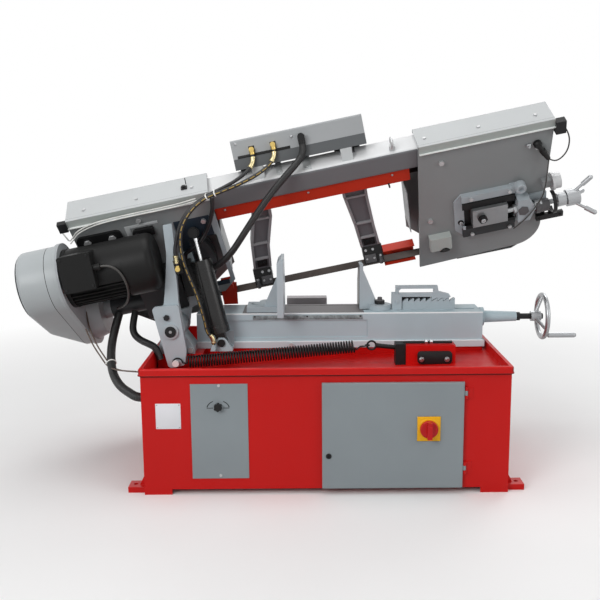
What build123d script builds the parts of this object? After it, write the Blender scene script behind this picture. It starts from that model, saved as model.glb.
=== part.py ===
from build123d import *
import math
import os

os.makedirs("parts", exist_ok=True)

# Sizes are in millimetres and degrees. The floor is Z 0 and the operator stands on the +Y side.

# Fits
GAP = 0.3
RUNNING = 0.05
SIDE_PLAY = 4.0

# Cabinet and tray
CABINET_LENGTH = 1234.0
CABINET_DEPTH = 702.0
SHEET = 3.0
FLOOR_GAP = 19.0
LEG_LENGTH = 94.0
RIM_TOP = 440.0
RIM_DROP = 24.0
RIM_OVERHANG = 7.0
RIM_CORNER = 14.0
BEAD = 2.0
PAN_GAP = 2.0
TRAY_HIGH = 410.0
TRAY_FALL = 38.0
PLINTH_TOP = 425.0
PLINTH_INSET = 8.0
PLINTH_WALL = 4.0
DIVIDER_X = -160.0
DIVIDER_TOP = 350.0

# Anchor feet
FOOT_REACH = 60.0
FOOT_WIDTH = 60.0
FOOT_THICK = 20.0
FOOT_Y = 302.0
FOOT_HOLE_R = 8.0
FOOT_HOLE_OUT = 38.0
GUSSET_HIGH = 48.0
GUSSET_OUT = 24.0
GUSSET_THICK = 10.0

# Cabinet front
PANEL_INSET = 165.0
PANEL_WIDE = 191.0
PANEL_LOW = 58.0
PANEL_HIGH = 388.0
PANEL_THICK = 2.5
PANEL_LAP = 14.0
PANEL_KNOB_IN = 92.0
PANEL_KNOB_Z = 310.0
PANEL_KNOB_R = 14.0
STEM_R = 6.0
DOOR_LEFT = -14.0
DOOR_LOW = 22.0
DOOR_HIGH = 390.0
DOOR_PROUD = 14.0
HINGE_X = 466.0
HINGE_R = 5.0
HINGE_PIN_R = 3.0
HINGE_HALF = 8.0
HINGE_LEAF = 20.0
HINGE_CLEAR = 1.5
HINGE_Z = (352.0, 91.0)
SWITCH_X = 342.0
SWITCH_Z = 232.0
SWITCH_WIDE = 78.0
SWITCH_HIGH = 85.0
SWITCH_KNOB_R = 30.0

# Bed
BED_LEFT = -470.0
BED_RIGHT = 592.0
BED_NEAR = 12.0
BED_FAR = 200.0
BED_TOP = 555.0
BED_WALL = 20.0
BED_FAR_WALL = 28.0
BED_RELIEF_X = 395.0
BED_FLANGE = 7.0
BED_FLANGE_HIGH = 24.0
BED_EDGE = 4.0
VISE_SLOT = 24.0
VISE_SLOT_LEFT = 150.0
LEDGE_X = (-140.0, 20.0)
LEDGE_TOP = 567.0

# Vise screw and handwheel
SCREW_Y = 80.0
SCREW_Z = 524.0
SCREW_R = 11.0
SCREW_LEFT = 190.0
BOSS_END = 731.0
BOSS_R = 23.5
BOSS_TIP_R = 18.0
WHEEL_HUB_X = (787.0, 824.0)
WHEEL_HUB_R = 19.0
WHEEL_RIM_X = 831.0
WHEEL_RIM_R = 80.0
WHEEL_TUBE_R = 9.0
GRIP_R = 9.5
GRIP_END = 946.0
GRIP_PIN_R = 5.0
GRIP_ANGLE = 233.0

# Vise jaws and pawl
FIXED_X = (-168.0, -145.0)
FIXED_TOP = 768.0
FIXED_PIVOT = (-195.0, 160.0)
JAW_PIN_R = 12.0
JAW_FOOT = 20.0
MOVING_X = (137.0, 152.0)
MOVING_Y = (80.0, 200.0)
MOVING_TOP = 728.0
MOVING_PIVOT_X = 215.0
JAW_DISC_R = 42.0
NUT_X = (196.0, 300.0)
NUT_HALF = 24.0
PAWL_X = 279.0
PAWL_Z = 586.0
PAWL_PIN_R = 6.0
PAWL_HALF = 11.0
PAWL_CHEEK = 7.0
RACK_X = 299.0
RACK_PITCH = 22.0
RACK_TEETH = 9
RACK_ROOT = 585.0
RACK_TIP = 597.0
PAWL_BAR = (634.0, 645.0)
TOOTH_GAP = 1.5

# Arm frame: the wheel plane leans back and the whole arm is lifted about the pivot
PIVOT_X = -545.0
PIVOT_Z = 519.0
PIVOT_R = 20.0
LIFT = 11.3
LEAN = 35.0
BLADE_Y = 250.0
BLADE_RISE = 48.0

# Pivot pieces, Y ranges
PEDESTAL_Y = (-76.0, 26.0)
CHEEK_THICK = 24.0
LUG_THICK = 30.0
LEVER_THICK = 18.0
HUB_R = 46.0
LEVER_BOLT = (-7.0, -114.0)
LEVER_BOLT_R = 7.0
VALVE_Y = 35.0

# Blade and wheels
WHEEL_R = 200.0
WHEEL_WIDE = 32.0
DRIVE_U = -17.0
IDLER_U = 1185.0
WHEEL_V = 200.0
BLADE_WIDE = 27.0
BLADE_THICK = 0.9
SHAFT_R = 20.0
AXLE_R = 17.5
TWIST_STEPS = 8

# Arm plates, covers and beam
PLATE_W = (54.0, 62.0)
DRIVE_END_U = (-275.0, 236.0)
IDLER_END_U = (945.0, 1457.0)
PLATE_TOP = 535.0
COVER_TOP = 540.0
COVER_LIP = 508.0
FRONT_W = -62.0
FRONT_LOW = -36.0
FRONT_RIM_W = 48.0
COVER_HINGE_V = 512.0
COVER_HINGE_R = 5.0
COVER_PIN_R = 3.0
WINDOW_U = (114.0, 220.0)
WINDOW_V = (112.0, 348.0)
BEAM_HALF = 45.0
BEAM_V = (440.0, 523.0)
BEAM_WALL = 8.0
STRIP_V = 388.0

# Blade guides
GUIDE_W = (-58.0, -22.0)
HEAD_LEFT_U = (300.0, 372.0)
HEAD_RIGHT_U = (738.0, 815.0)
HEAD_Y = (236.0, 292.0)
HEAD_LOW = 560.0
HEAD_TOP = 630.0
PAD_GAP = 0.6
BACK_GAP = 2.0

# Drive train
WORM_V = 140.0
WORM_W = 110.0
WORM_R = 14.0
WORM_SHAFT_R = 11.0
WORM_TUBE_R = 36.0
WORM_WHEEL_R = 45.0
GEARBOX_U = (-105.0, 55.0)
GEARBOX_V = (72.0, 262.0)
GEARBOX_W = 150.0
GEARBOX_WALL = 10.0
MOTOR_LIFT = 11.0
MOTOR_W = 175.0
MOTOR_R = 103.0
MOTOR_CORE_R = 93.0
MOTOR_SHAFT_R = 12.0
MOTOR_END_U = -97.0
MOTOR_FINS = range(80, 321, 10)
BRACKET_RISE = (30.0, 84.0)
FAN_END_U = 11.0
BACK_PLATE_U = (-316.0, -308.0)
PULLEY_U = (-352.0, -326.0)
MOTOR_PULLEY_R = 40.0
WORM_PULLEY_R = 60.0
BELT_THICK = 9.0
COVER_END_U = -466.0
COVER_WALL = 4.0
HOOD_TOP_R = 122.0
HOOD_LOW_R = 117.0
HOOD_SEAM_U = -356.0
HOOD_END_LOW = (218.0, 132.0)
HOOD_END_R = 92.0
HOOD_FLANGE = 6.0
HOUSING_U = -262.0
HOUSING_R = (106.0, 92.0)

# Blade tension unit
TENSION_V = 200.0
TENSION_W = 92.0
TENSION_R = 10.0
SLIDE_U = (1150.0, 1280.0)
SLIDE_HALF = 53.0
SLIDE_NECK = 40.0
SLIDE_TOP_W = 106.0
RAIL_U = (1090.0, 1312.0)
RAIL_V = (104.0, 296.0)
RAIL_BASE_W = 70.0
RAIL_TOP_W = 86.0
BRACKET_U = (1316.0, 1382.0)
STAR_U = (1466.0, 1500.0, 1548.0)
STAR_R = (25.0, 31.0)
STAR_REACH = 75.0
STAR_TILT = 62.0
GAUGE_V = 280.0
TENSION_TRAVEL = 14.0

# Feed cylinder
CYL_Y = -45.0
CYL_FOOT = (-372.0, 463.0)
ROD_EYE = (146.0, 321.0)
CYL_R = 38.0
CYL_BORE_R = 30.0
CYL_START = 36.0
CYL_LENGTH = 309.0
CYL_PIN_R = 10.0
ROD_R = 7.0
EYE_PIN_R = 8.0
EYE_PLAY = 6.2
EYE_HALF = 10.0
EYE_NECK = 32.0

# Counter spring
SPRING_Y = -135.0
SPRING_R = 20.0
WIRE_R = 2.8
SPRING_TURNS = 62
RING_R = 15.5
RING_WIRE_R = 3.5
EYE_X = 168.0
EYE_Z = 465.0
EYE_ROD_R = 8.0
ANCHOR_X = (287.0, 462.0)
ANCHOR_Y = (-165.0, -105.0)
ANCHOR_TOP = 470.0
ANCHOR_WALL = 6.0

# Control box on the beam
BOX_U = (345.0, 811.0)
BOX_Y = (-75.0, 62.0)
BOX_Z = (503.0, 607.0)
BUTTON_Z = 560.0
ESTOP_U = 700.0
START_U = 620.0
FLOW_U = 450.0
BUTTON_STEM_R = 8.0

# Hoses and cables, radius
HOSE_R = 6.5
CONDUIT_R = 12.0
SUPPLY_R = 15.5
COOLANT_R = 13.0
CABLE_R = 4.0

CAB_X = CABINET_LENGTH / 2
CAB_Y = CABINET_DEPTH / 2
PAN_X = CAB_X - SHEET - PAN_GAP
PAN_Y = CAB_Y - SHEET - PAN_GAP
RIM_X = CAB_X + RIM_OVERHANG
PANEL_LEFT = -CAB_X + PANEL_INSET
PANEL_RIGHT = PANEL_LEFT + PANEL_WIDE
PANEL_KNOB_X = PANEL_LEFT + PANEL_KNOB_IN
RIM_Y = CAB_Y + RIM_OVERHANG
MOTOR_V = GEARBOX_V[1] + MOTOR_R + MOTOR_LIFT
CHEEK_FAR = PEDESTAL_Y[0] - SIDE_PLAY - 6.0
CHEEK_Y = (CHEEK_FAR - CHEEK_THICK, CHEEK_FAR)
LEVER_Y = (CHEEK_Y[0] - LEVER_THICK, CHEEK_Y[0])
LUG_Y = (PEDESTAL_Y[1] + SIDE_PLAY, PEDESTAL_Y[1] + SIDE_PLAY + LUG_THICK)

LEVEL = Location((PIVOT_X, 0, PIVOT_Z), (0, -LIFT, 0))
COS_LEAN = math.cos(math.radians(LEAN))
SIN_LEAN = math.sin(math.radians(LEAN))
WHEEL_PLANE = Plane(origin=(0, BLADE_Y, BLADE_RISE), x_dir=(1, 0, 0), z_dir=(0, -COS_LEAN, -SIN_LEAN))
SAW = LEVEL * WHEEL_PLANE.location


# Helpers
def block(x, y, z):
    """Box from three low, high pairs."""
    mid = [(low + high) / 2 for low, high in (x, y, z)]
    size = [high - low for low, high in (x, y, z)]
    return Pos(*mid) * Box(*size)


def bar(start, end, radius):
    """Round bar between two points."""
    along = Vector(*end) - Vector(*start)
    solid = Cylinder(radius, along.length, align=(Align.CENTER, Align.CENTER, Align.MIN))
    return Plane(origin=start, z_dir=along) * solid


def outline(points, radius=0.0):
    face = make_face(Polyline(*points, close=True))
    return fillet(face.vertices(), radius) if radius else face


def slab(points, low, high, radius=0.0):
    """Outline in x, y drawn out along z."""
    return Pos(0, 0, low) * extrude(outline(points, radius), high - low, dir=(0, 0, 1))


def upright(points, near, far, radius=0.0):
    """Outline in x, z drawn out along y."""
    return Rot(90, 0, 0) * slab(points, -far, -near, radius)


def crosswise(points, low, high, radius=0.0):
    """Outline in y, z drawn out along x."""
    return Plane.YZ.location * slab(points, low, high, radius)


def capsule(first, first_r, second, second_r):
    """Face around two circles and their outer tangents."""
    dx = second[0] - first[0]
    dy = second[1] - first[1]
    base = math.atan2(dy, dx)
    open_angle = math.acos((first_r - second_r) / math.hypot(dx, dy))

    def on(centre, radius, angle):
        return centre[0] + radius * math.cos(angle), centre[1] + radius * math.sin(angle)

    a = on(first, first_r, base + open_angle)
    b = on(first, first_r, base + math.pi)
    c = on(first, first_r, base - open_angle)
    d = on(second, second_r, base - open_angle)
    e = on(second, second_r, base)
    f = on(second, second_r, base + open_angle)
    edges = [ThreePointArc(a, b, c), Line(c, d), ThreePointArc(d, e, f), Line(f, a)]
    return make_face(edges)


def hexagon(across, height):
    return extrude(RegularPolygon(across / math.sqrt(3), 6), height)


def bolt_head(at, along, across=13.0, height=8.0):
    """Hex head seated at a point, pointing along a direction."""
    return Plane(origin=at, z_dir=along) * hexagon(across, height)


def tube(points, radius, label):
    """Round cord along straight runs joined by tangent arcs."""
    runs = [Vector(*b) - Vector(*a) for a, b in zip(points, points[1:])]
    radii = []
    for one, two in zip(runs, runs[1:]):
        half = math.radians(one.get_angle(two)) / 2
        radii.append(0.45 * min(one.length, two.length) / math.tan(half))
    path = FilletPolyline(*points, radius=radii)
    solid = sweep(Plane(origin=path @ 0, z_dir=path % 0) * Circle(radius), path=path)
    length = sum(edge.length for edge in path.edges())
    print(label, "radii", [round(r) for r in radii], "length", round(length),
          "volume ratio", round(solid.volume / (math.pi * radius**2 * length), 3))
    return solid


def on_arm(points):
    """Points in the level arm frame, moved to the lifted arm."""
    return [tuple((LEVEL * Pos(*p)).position) for p in points]


# Cabinet
def floor_height(x):
    return TRAY_HIGH - TRAY_FALL * (PAN_X - x) / (2 * PAN_X)


def cabinet():
    top = RIM_TOP - SHEET
    shell = block((-CAB_X, CAB_X), (-CAB_Y, CAB_Y), (0, top))
    inner_x = (-CAB_X + SHEET, CAB_X - SHEET)
    inner_y = (-CAB_Y + SHEET, CAB_Y - SHEET)
    shell -= block(inner_x, inner_y, (0, top))
    shell -= block((-CAB_X + LEG_LENGTH, CAB_X - LEG_LENGTH), (-CAB_Y, CAB_Y), (0, FLOOR_GAP))
    shell -= block((-CAB_X, CAB_X), (-CAB_Y + LEG_LENGTH, CAB_Y - LEG_LENGTH), (0, FLOOR_GAP))
    shell += block(inner_x, inner_y, (FLOOR_GAP, FLOOR_GAP + SHEET))
    shell += block((DIVIDER_X, DIVIDER_X + SHEET), inner_y, (FLOOR_GAP + SHEET, DIVIDER_TOP))
    front = (-CAB_Y, -CAB_Y + SHEET)
    shell -= block((PANEL_LEFT + PANEL_LAP, PANEL_RIGHT - PANEL_LAP), front,
                   (PANEL_LOW + PANEL_LAP, PANEL_HIGH - PANEL_LAP))
    shell -= block((DOOR_LEFT + 2 * PANEL_LAP, HINGE_X - 2 * PANEL_LAP), front,
                   (DOOR_LOW + 2 * PANEL_LAP, DOOR_HIGH - 2 * PANEL_LAP))
    shell -= bar((-CAB_X, SUPPLY_ENTRY[1], SUPPLY_ENTRY[2]),
                 (-CAB_X + SHEET, SUPPLY_ENTRY[1], SUPPLY_ENTRY[2]), SUPPLY_R + GAP)
    for piece in anchor_feet() + door_hinges():
        shell += piece
    return shell


def chip_tray():
    top = RIM_TOP
    low = floor_height(-PAN_X)
    high = floor_height(PAN_X)
    pan = upright([(-PAN_X, top), (PAN_X, top), (PAN_X, high - SHEET), (-PAN_X, low - SHEET)], -PAN_Y, PAN_Y)
    inside = PAN_X - SHEET
    pan -= upright([(-inside, top), (inside, top), (inside, floor_height(inside)),
                    (-inside, floor_height(-inside))], -PAN_Y + SHEET, PAN_Y - SHEET)
    rim = Pos(0, 0, top - RIM_DROP) * extrude(RectangleRounded(2 * RIM_X, 2 * RIM_Y, RIM_CORNER), RIM_DROP)
    rim = fillet(rim.edges().group_by(Axis.Z)[-1], 5)
    bead = RectangleRounded(2 * (RIM_X + BEAD), 2 * (RIM_Y + BEAD), RIM_CORNER + BEAD)
    rim += Pos(0, 0, top - RIM_DROP) * extrude(bead, SHEET)
    rim -= block((-RIM_X + SHEET, RIM_X - SHEET), (-RIM_Y + SHEET, RIM_Y - SHEET), (top - RIM_DROP, top - SHEET))
    rim -= block((-PAN_X, PAN_X), (-PAN_Y, PAN_Y), (top - SHEET, top))
    tray = pan + rim
    for x, y in PLINTHS:
        tray += plinth(x, y, 0, floor_height)
    for x, y in PLINTHS:
        tray -= plinth(x, y, PLINTH_WALL, lambda at: floor_height(at) - 4 * SHEET)
    return tray


PLINTHS = (
    ((BED_LEFT, BED_RIGHT), (BED_NEAR - BED_FLANGE + PLINTH_INSET, BED_FAR - PLINTH_INSET)),
    ((PIVOT_X - 58.0, BED_LEFT + 30.0), (PEDESTAL_Y[0] - 4.0, PEDESTAL_Y[1] + 4.0)),
)


def plinth(x, y, wall, height):
    low, high = x[0] + wall, x[1] - wall
    points = [(low, height(low) - SHEET / 2), (high, height(high) - SHEET / 2),
              (high, PLINTH_TOP - wall), (low, PLINTH_TOP - wall)]
    return upright(points, y[0] + wall, y[1] - wall)


def anchor_feet():
    feet = []
    for side in (-1, 1):
        for y in (-FOOT_Y, FOOT_Y):
            near, far = y - FOOT_WIDTH / 2, y + FOOT_WIDTH / 2
            tab = block((CAB_X, CAB_X + FOOT_REACH), (near, far), (0, FOOT_THICK))
            tab += upright([(CAB_X, FOOT_THICK), (CAB_X + GUSSET_OUT, FOOT_THICK),
                            (CAB_X, FOOT_THICK + GUSSET_HIGH)], y - GUSSET_THICK / 2, y + GUSSET_THICK / 2)
            hole = CAB_X + FOOT_HOLE_OUT
            tab -= bar((hole, y, 0), (hole, y, FOOT_THICK), FOOT_HOLE_R)
            feet.append(tab if side > 0 else Rot(0, 0, 180) * tab)
    return feet


def access_panel():
    panel = block((PANEL_LEFT, PANEL_RIGHT), (-CAB_Y - PANEL_THICK, -CAB_Y), (PANEL_LOW, PANEL_HIGH))
    panel -= bar((PANEL_KNOB_X, -CAB_Y - PANEL_THICK, PANEL_KNOB_Z), (PANEL_KNOB_X, -CAB_Y, PANEL_KNOB_Z),
                 STEM_R + RUNNING)
    return panel


def panel_knob():
    face = -CAB_Y - PANEL_THICK - GAP
    lobes = Circle(PANEL_KNOB_R - 3.0)
    for spot in PolarLocations(PANEL_KNOB_R - 4.5, 6):
        lobes += spot * Circle(4.5)
    knob = Plane(origin=(PANEL_KNOB_X, face, PANEL_KNOB_Z), z_dir=(0, -1, 0)) * extrude(lobes, 16)
    knob += bar((PANEL_KNOB_X, face, PANEL_KNOB_Z), (PANEL_KNOB_X, -CAB_Y + GAP, PANEL_KNOB_Z), STEM_R)
    knob += bar((PANEL_KNOB_X, -CAB_Y + GAP, PANEL_KNOB_Z),
                (PANEL_KNOB_X, -CAB_Y + GAP + SHEET, PANEL_KNOB_Z), STEM_R + 5.0)
    return knob


DOOR_FACE = -CAB_Y - DOOR_PROUD
HINGE_Y = -CAB_Y - DOOR_PROUD / 2
DOOR_RIGHT = HINGE_X - HINGE_R - HINGE_CLEAR


def electrical_door():
    back = -CAB_Y - GAP
    door = block((DOOR_LEFT, DOOR_RIGHT), (DOOR_FACE, back), (DOOR_LOW, DOOR_HIGH))
    door = fillet(door.edges().group_by(Axis.Y)[0], 3)
    door -= block((DOOR_LEFT + PANEL_THICK, DOOR_RIGHT - PANEL_THICK), (DOOR_FACE + PANEL_THICK, back),
                  (DOOR_LOW + PANEL_THICK, DOOR_HIGH - PANEL_THICK))
    for z in HINGE_Z:
        span = (z - HINGE_HALF, z + HINGE_HALF)
        door += block((DOOR_RIGHT - PANEL_THICK, HINGE_X), (HINGE_Y - 2.5, HINGE_Y + 2.5), span)
        door += bar((HINGE_X, HINGE_Y, span[0]), (HINGE_X, HINGE_Y, span[1]), HINGE_R)
        door -= bar((HINGE_X, HINGE_Y, span[0]), (HINGE_X, HINGE_Y, span[1]), HINGE_PIN_R + RUNNING)
    door += block((SWITCH_X - SWITCH_WIDE / 2, SWITCH_X + SWITCH_WIDE / 2), (DOOR_FACE - SHEET, DOOR_FACE),
                  (SWITCH_Z - SWITCH_HIGH / 2, SWITCH_Z + SWITCH_HIGH / 2))
    return door - bar((SWITCH_X, DOOR_FACE - SHEET, SWITCH_Z), (SWITCH_X, DOOR_FACE + PANEL_THICK, SWITCH_Z),
                      STEM_R + RUNNING)


def door_hinges():
    hinges = []
    for z in HINGE_Z:
        leaf = block((HINGE_X + HINGE_R, HINGE_X + HINGE_R + 18), (-CAB_Y - SHEET, -CAB_Y),
                     (z - HINGE_LEAF, z + HINGE_LEAF))
        for low, high in ((z - HINGE_LEAF, z - HINGE_HALF - GAP), (z + HINGE_HALF + GAP, z + HINGE_LEAF)):
            leaf += bar((HINGE_X, HINGE_Y, low), (HINGE_X, HINGE_Y, high), HINGE_R)
            leaf += block((HINGE_X, HINGE_X + HINGE_R + SHEET), (HINGE_Y, -CAB_Y), (low, high))
        leaf += bar((HINGE_X, HINGE_Y, z - HINGE_LEAF), (HINGE_X, HINGE_Y, z + HINGE_LEAF), HINGE_PIN_R)
        hinges.append(leaf)
    return hinges


def switch_knob():
    face = DOOR_FACE - SHEET - GAP
    knob = bar((SWITCH_X, face, SWITCH_Z), (SWITCH_X, face - 14, SWITCH_Z), SWITCH_KNOB_R)
    knob = chamfer(knob.edges().group_by(Axis.Y)[0], 3)
    knob += block((SWITCH_X - 8, SWITCH_X + 8), (face - 32, face - 14),
                  (SWITCH_Z - SWITCH_KNOB_R + 1, SWITCH_Z + SWITCH_KNOB_R - 1))
    skin = DOOR_FACE + PANEL_THICK + GAP
    knob += bar((SWITCH_X, face, SWITCH_Z), (SWITCH_X, skin, SWITCH_Z), STEM_R)
    knob += bar((SWITCH_X, skin, SWITCH_Z), (SWITCH_X, skin + SHEET, SWITCH_Z), STEM_R + 4)
    return knob


# Bed
def bed():
    body = block((BED_LEFT, BED_RIGHT), (BED_NEAR, BED_FAR), (PLINTH_TOP, BED_TOP))
    body = fillet(body.edges().filter_by(Axis.X).group_by(Axis.Z)[-1], BED_EDGE)
    body += block((BED_LEFT, BED_RIGHT + BED_FLANGE), (BED_NEAR - BED_FLANGE, BED_FAR),
                  (PLINTH_TOP, PLINTH_TOP + BED_FLANGE_HIGH))
    body -= block((BED_LEFT + BED_WALL, BED_RIGHT - BED_WALL), (BED_NEAR + BED_WALL, BED_FAR - BED_FAR_WALL),
                  (PLINTH_TOP, BED_TOP - BED_WALL))
    relief = [(BED_FAR, BED_TOP), (BED_FAR, BED_TOP - 47), (BED_FAR - BED_FAR_WALL, BED_TOP)]
    body -= crosswise(relief, BED_RELIEF_X, BED_RIGHT)
    body -= block((VISE_SLOT_LEFT, BED_RIGHT - BED_WALL), (SCREW_Y - VISE_SLOT / 2, SCREW_Y + VISE_SLOT / 2),
                  (BED_TOP - BED_WALL, BED_TOP))
    body -= block((BED_LEFT + 40, SCALE_X[1] + 20), (BED_NEAR, BED_NEAR + 4),
                  (PLINTH_TOP + BED_FLANGE_HIGH + 14, SCALE_Z[0] - 3))
    body -= block((FIXED_X[1] + 10, MOVING_X[0]), (165, 171), (BED_TOP - 7, BED_TOP))
    body -= bar((BED_RIGHT - BED_WALL, SCREW_Y, SCREW_Z), (BED_RIGHT, SCREW_Y, SCREW_Z), SCREW_R + 3)
    body -= bar((*FIXED_PIVOT, BED_TOP - BED_WALL), (*FIXED_PIVOT, BED_TOP), JAW_PIN_R)
    return body + screw_boss() + outfeed_ledge()


SCALE_X = (-262.0, 145.0)
SCALE_Z = (531.0, 547.0)


def outfeed_ledge():
    low = BED_TOP - 45.0
    side = [(BED_FAR, low), (330, low + 20), (330, LEDGE_TOP), (272, LEDGE_TOP), (272, BED_TOP - 14),
            (BED_FAR + 18, BED_TOP - 14), (BED_FAR + 18, BED_TOP - 4), (BED_FAR, BED_TOP - 4)]
    return crosswise(side, LEDGE_X[0], LEDGE_X[1])


def screw_boss():
    boss = Plane(origin=(BED_RIGHT, SCREW_Y, SCREW_Z), z_dir=(1, 0, 0)) * Cone(
        BOSS_R, BOSS_TIP_R, BOSS_END - BED_RIGHT, align=(Align.CENTER, Align.CENTER, Align.MIN))
    boss += bar((BED_RIGHT, SCREW_Y, SCREW_Z), (BED_RIGHT + 14, SCREW_Y, SCREW_Z), BOSS_R + 12)
    return boss - bar((BED_RIGHT, SCREW_Y, SCREW_Z), (BOSS_END, SCREW_Y, SCREW_Z), SCREW_R + RUNNING)


# Vise
def jaw_pin():
    x, y = FIXED_PIVOT
    head = BED_TOP + GAP + JAW_FOOT
    pin = bar((x, y, BED_TOP - BED_WALL), (x, y, head + GAP), JAW_PIN_R)
    return pin + Pos(x, y, head + GAP) * hexagon(32, 13)


def fixed_jaw():
    low = BED_TOP + GAP
    side = [(-80, low), (200, low), (200, 650), (90, FIXED_TOP), (-80, FIXED_TOP)]
    jaw = crosswise(side, FIXED_X[0], FIXED_X[1])
    back = jaw.edges().filter_by(Axis.Y).group_by(Axis.Z)[-1].sort_by(Axis.X)[0:1]
    jaw = chamfer(back, length=14, length2=16)
    x, y = FIXED_PIVOT
    foot = Pos(x, y, low) * Cylinder(48, JAW_FOOT, align=(Align.CENTER, Align.CENTER, Align.MIN))
    foot += block((x - 90, FIXED_X[0]), (30, 150), (low, low + JAW_FOOT))
    foot -= block((FIXED_X[0], FIXED_X[0] + 200), (-100, 300), (low, low + JAW_FOOT))
    slot = Pos(x, y, low) * (Cylinder(100, 60) - Cylinder(86, 60))
    foot -= slot & block((x - 76, x - 4), (40, 140), (low, low + JAW_FOOT))
    jaw += foot
    for near in (44, 128):
        rib = [(FIXED_X[0], low + JAW_FOOT), (x - 24, low + JAW_FOOT), (FIXED_X[0], FIXED_TOP - 78)]
        jaw += upright(rib, near, near + 14)
    jaw -= bar((x, y, low), (x, y, low + JAW_FOOT), JAW_PIN_R + RUNNING)
    return jaw - bar((x, y, low + JAW_FOOT), (x, y, FIXED_TOP), 30)


def jaw_carriage():
    half = VISE_SLOT / 2 - GAP
    under = BED_TOP - BED_WALL - GAP
    key_x = (NUT_X[0], RACK_X + RACK_PITCH * RACK_TEETH)
    body = block(key_x, (SCREW_Y - half, SCREW_Y + half), (under - 4, BED_TOP + GAP))
    body += block(NUT_X, (SCREW_Y - NUT_HALF, SCREW_Y + NUT_HALF), (SCREW_Z - NUT_HALF, under))
    body -= bar((NUT_X[0], SCREW_Y, SCREW_Z), (NUT_X[1], SCREW_Y, SCREW_Z), SCREW_R + RUNNING)
    body -= block((NUT_X[1], key_x[1]), (SCREW_Y - half, SCREW_Y + half), (under - 4, SCREW_Z + SCREW_R + 2))
    cheek = PAWL_HALF + GAP
    for near, far in ((-cheek - PAWL_CHEEK, -cheek), (cheek, cheek + PAWL_CHEEK)):
        body += upright([(PAWL_X - 19, BED_TOP + GAP), (PAWL_X + 17, BED_TOP + GAP), (PAWL_X + 17, PAWL_Z + 18),
                         (PAWL_X + 4, PAWL_Z + 32), (PAWL_X - 19, PAWL_Z + 32)], SCREW_Y + near, SCREW_Y + far)
    body += block((PAWL_X - 19, PAWL_X + 17), (SCREW_Y - cheek - PAWL_CHEEK, SCREW_Y + cheek + PAWL_CHEEK),
                  (BED_TOP + GAP, BED_TOP + 9))
    reach = cheek + PAWL_CHEEK + 3
    body += bar((PAWL_X, SCREW_Y - reach, PAWL_Z), (PAWL_X, SCREW_Y + reach, PAWL_Z), PAWL_PIN_R)
    top = BED_TOP + 2 * GAP + JAW_FOOT
    body += bar((MOVING_PIVOT_X, SCREW_Y, BED_TOP), (MOVING_PIVOT_X, SCREW_Y, top + GAP), JAW_PIN_R)
    body += Pos(MOVING_PIVOT_X, SCREW_Y, top + GAP) * hexagon(32, 13)
    return body + rack()


def rack():
    low = BED_TOP + GAP
    points = [(RACK_X, low)]
    for tooth in range(RACK_TEETH):
        x = RACK_X + tooth * RACK_PITCH
        points += [(x, RACK_ROOT), (x + RACK_PITCH * 0.8, RACK_TIP), (x + RACK_PITCH, RACK_TIP)]
    points += [(RACK_X + RACK_TEETH * RACK_PITCH, low)]
    return upright(points, SCREW_Y - PAWL_HALF, SCREW_Y + PAWL_HALF)


def pawl():
    near, far = SCREW_Y - PAWL_HALF, SCREW_Y + PAWL_HALF
    first = RACK_X + 5 * RACK_PITCH
    last = first + 3 * RACK_PITCH
    points = [(PAWL_X - 14, PAWL_Z + 31), (PAWL_X - 14, PAWL_Z - 9), (PAWL_X + 12, PAWL_Z - 9),
              (PAWL_X + 14, RACK_TIP + 6), (first, RACK_TIP + 6)]
    for tooth in range(3):
        x = first + tooth * RACK_PITCH
        points += [(x + TOOTH_GAP, RACK_ROOT + 3), (x + RACK_PITCH * 0.8 - 1, RACK_TIP + TOOTH_GAP),
                   (x + RACK_PITCH, RACK_TIP + TOOTH_GAP)]
    points += [(last + 6, RACK_TIP + 6), (last, RACK_TIP + 16), (first + 26, RACK_TIP + 26),
               (first + 22, PAWL_BAR[1]), (PAWL_X - 5, PAWL_BAR[1]), (PAWL_X - 5, PAWL_BAR[0]),
               (first + 8, PAWL_BAR[0]), (first + 8, PAWL_Z + 31)]
    body = upright(points, near, far)
    return body - bar((PAWL_X, near, PAWL_Z), (PAWL_X, far, PAWL_Z), PAWL_PIN_R + RUNNING)


def movable_jaw():
    low = BED_TOP + 2 * GAP
    near, far = MOVING_Y
    side = [(near, low), (far, low), (far, MOVING_TOP - 75), (far - 52, MOVING_TOP), (near, MOVING_TOP)]
    jaw = crosswise(side, MOVING_X[0], MOVING_X[1])
    jaw = fillet(jaw.edges().filter_by(Axis.Y).group_by(Axis.Z)[-1], 3)
    jaw += block((MOVING_X[1], MOVING_PIVOT_X), (MOVING_Y[0], SCREW_Y + JAW_DISC_R), (low, low + JAW_FOOT))
    jaw += bar((MOVING_PIVOT_X, SCREW_Y, low), (MOVING_PIVOT_X, SCREW_Y, low + JAW_FOOT), JAW_DISC_R)
    rib = [(MOVING_X[1], low + JAW_FOOT), (MOVING_PIVOT_X - 8, low + JAW_FOOT), (MOVING_X[1], MOVING_TOP - 23)]
    for near in (MOVING_Y[0], SCREW_Y + 28):
        jaw += upright(rib, near, near + 14)
    jaw -= bar((MOVING_PIVOT_X, SCREW_Y, low), (MOVING_PIVOT_X, SCREW_Y, low + JAW_FOOT), JAW_PIN_R + RUNNING)
    return jaw - bar((MOVING_PIVOT_X, SCREW_Y, low + JAW_FOOT), (MOVING_PIVOT_X, SCREW_Y, MOVING_TOP), 20)


def lead_screw():
    screw = bar((SCREW_LEFT, SCREW_Y, SCREW_Z), (WHEEL_HUB_X[1] + 8, SCREW_Y, SCREW_Z), SCREW_R)
    for low, high in ((BOSS_END + GAP, BOSS_END + 14), (BED_RIGHT - BED_WALL - 14, BED_RIGHT - BED_WALL - GAP)):
        screw += bar((low, SCREW_Y, SCREW_Z), (high, SCREW_Y, SCREW_Z), SCREW_R + 5)
    return screw


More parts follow.
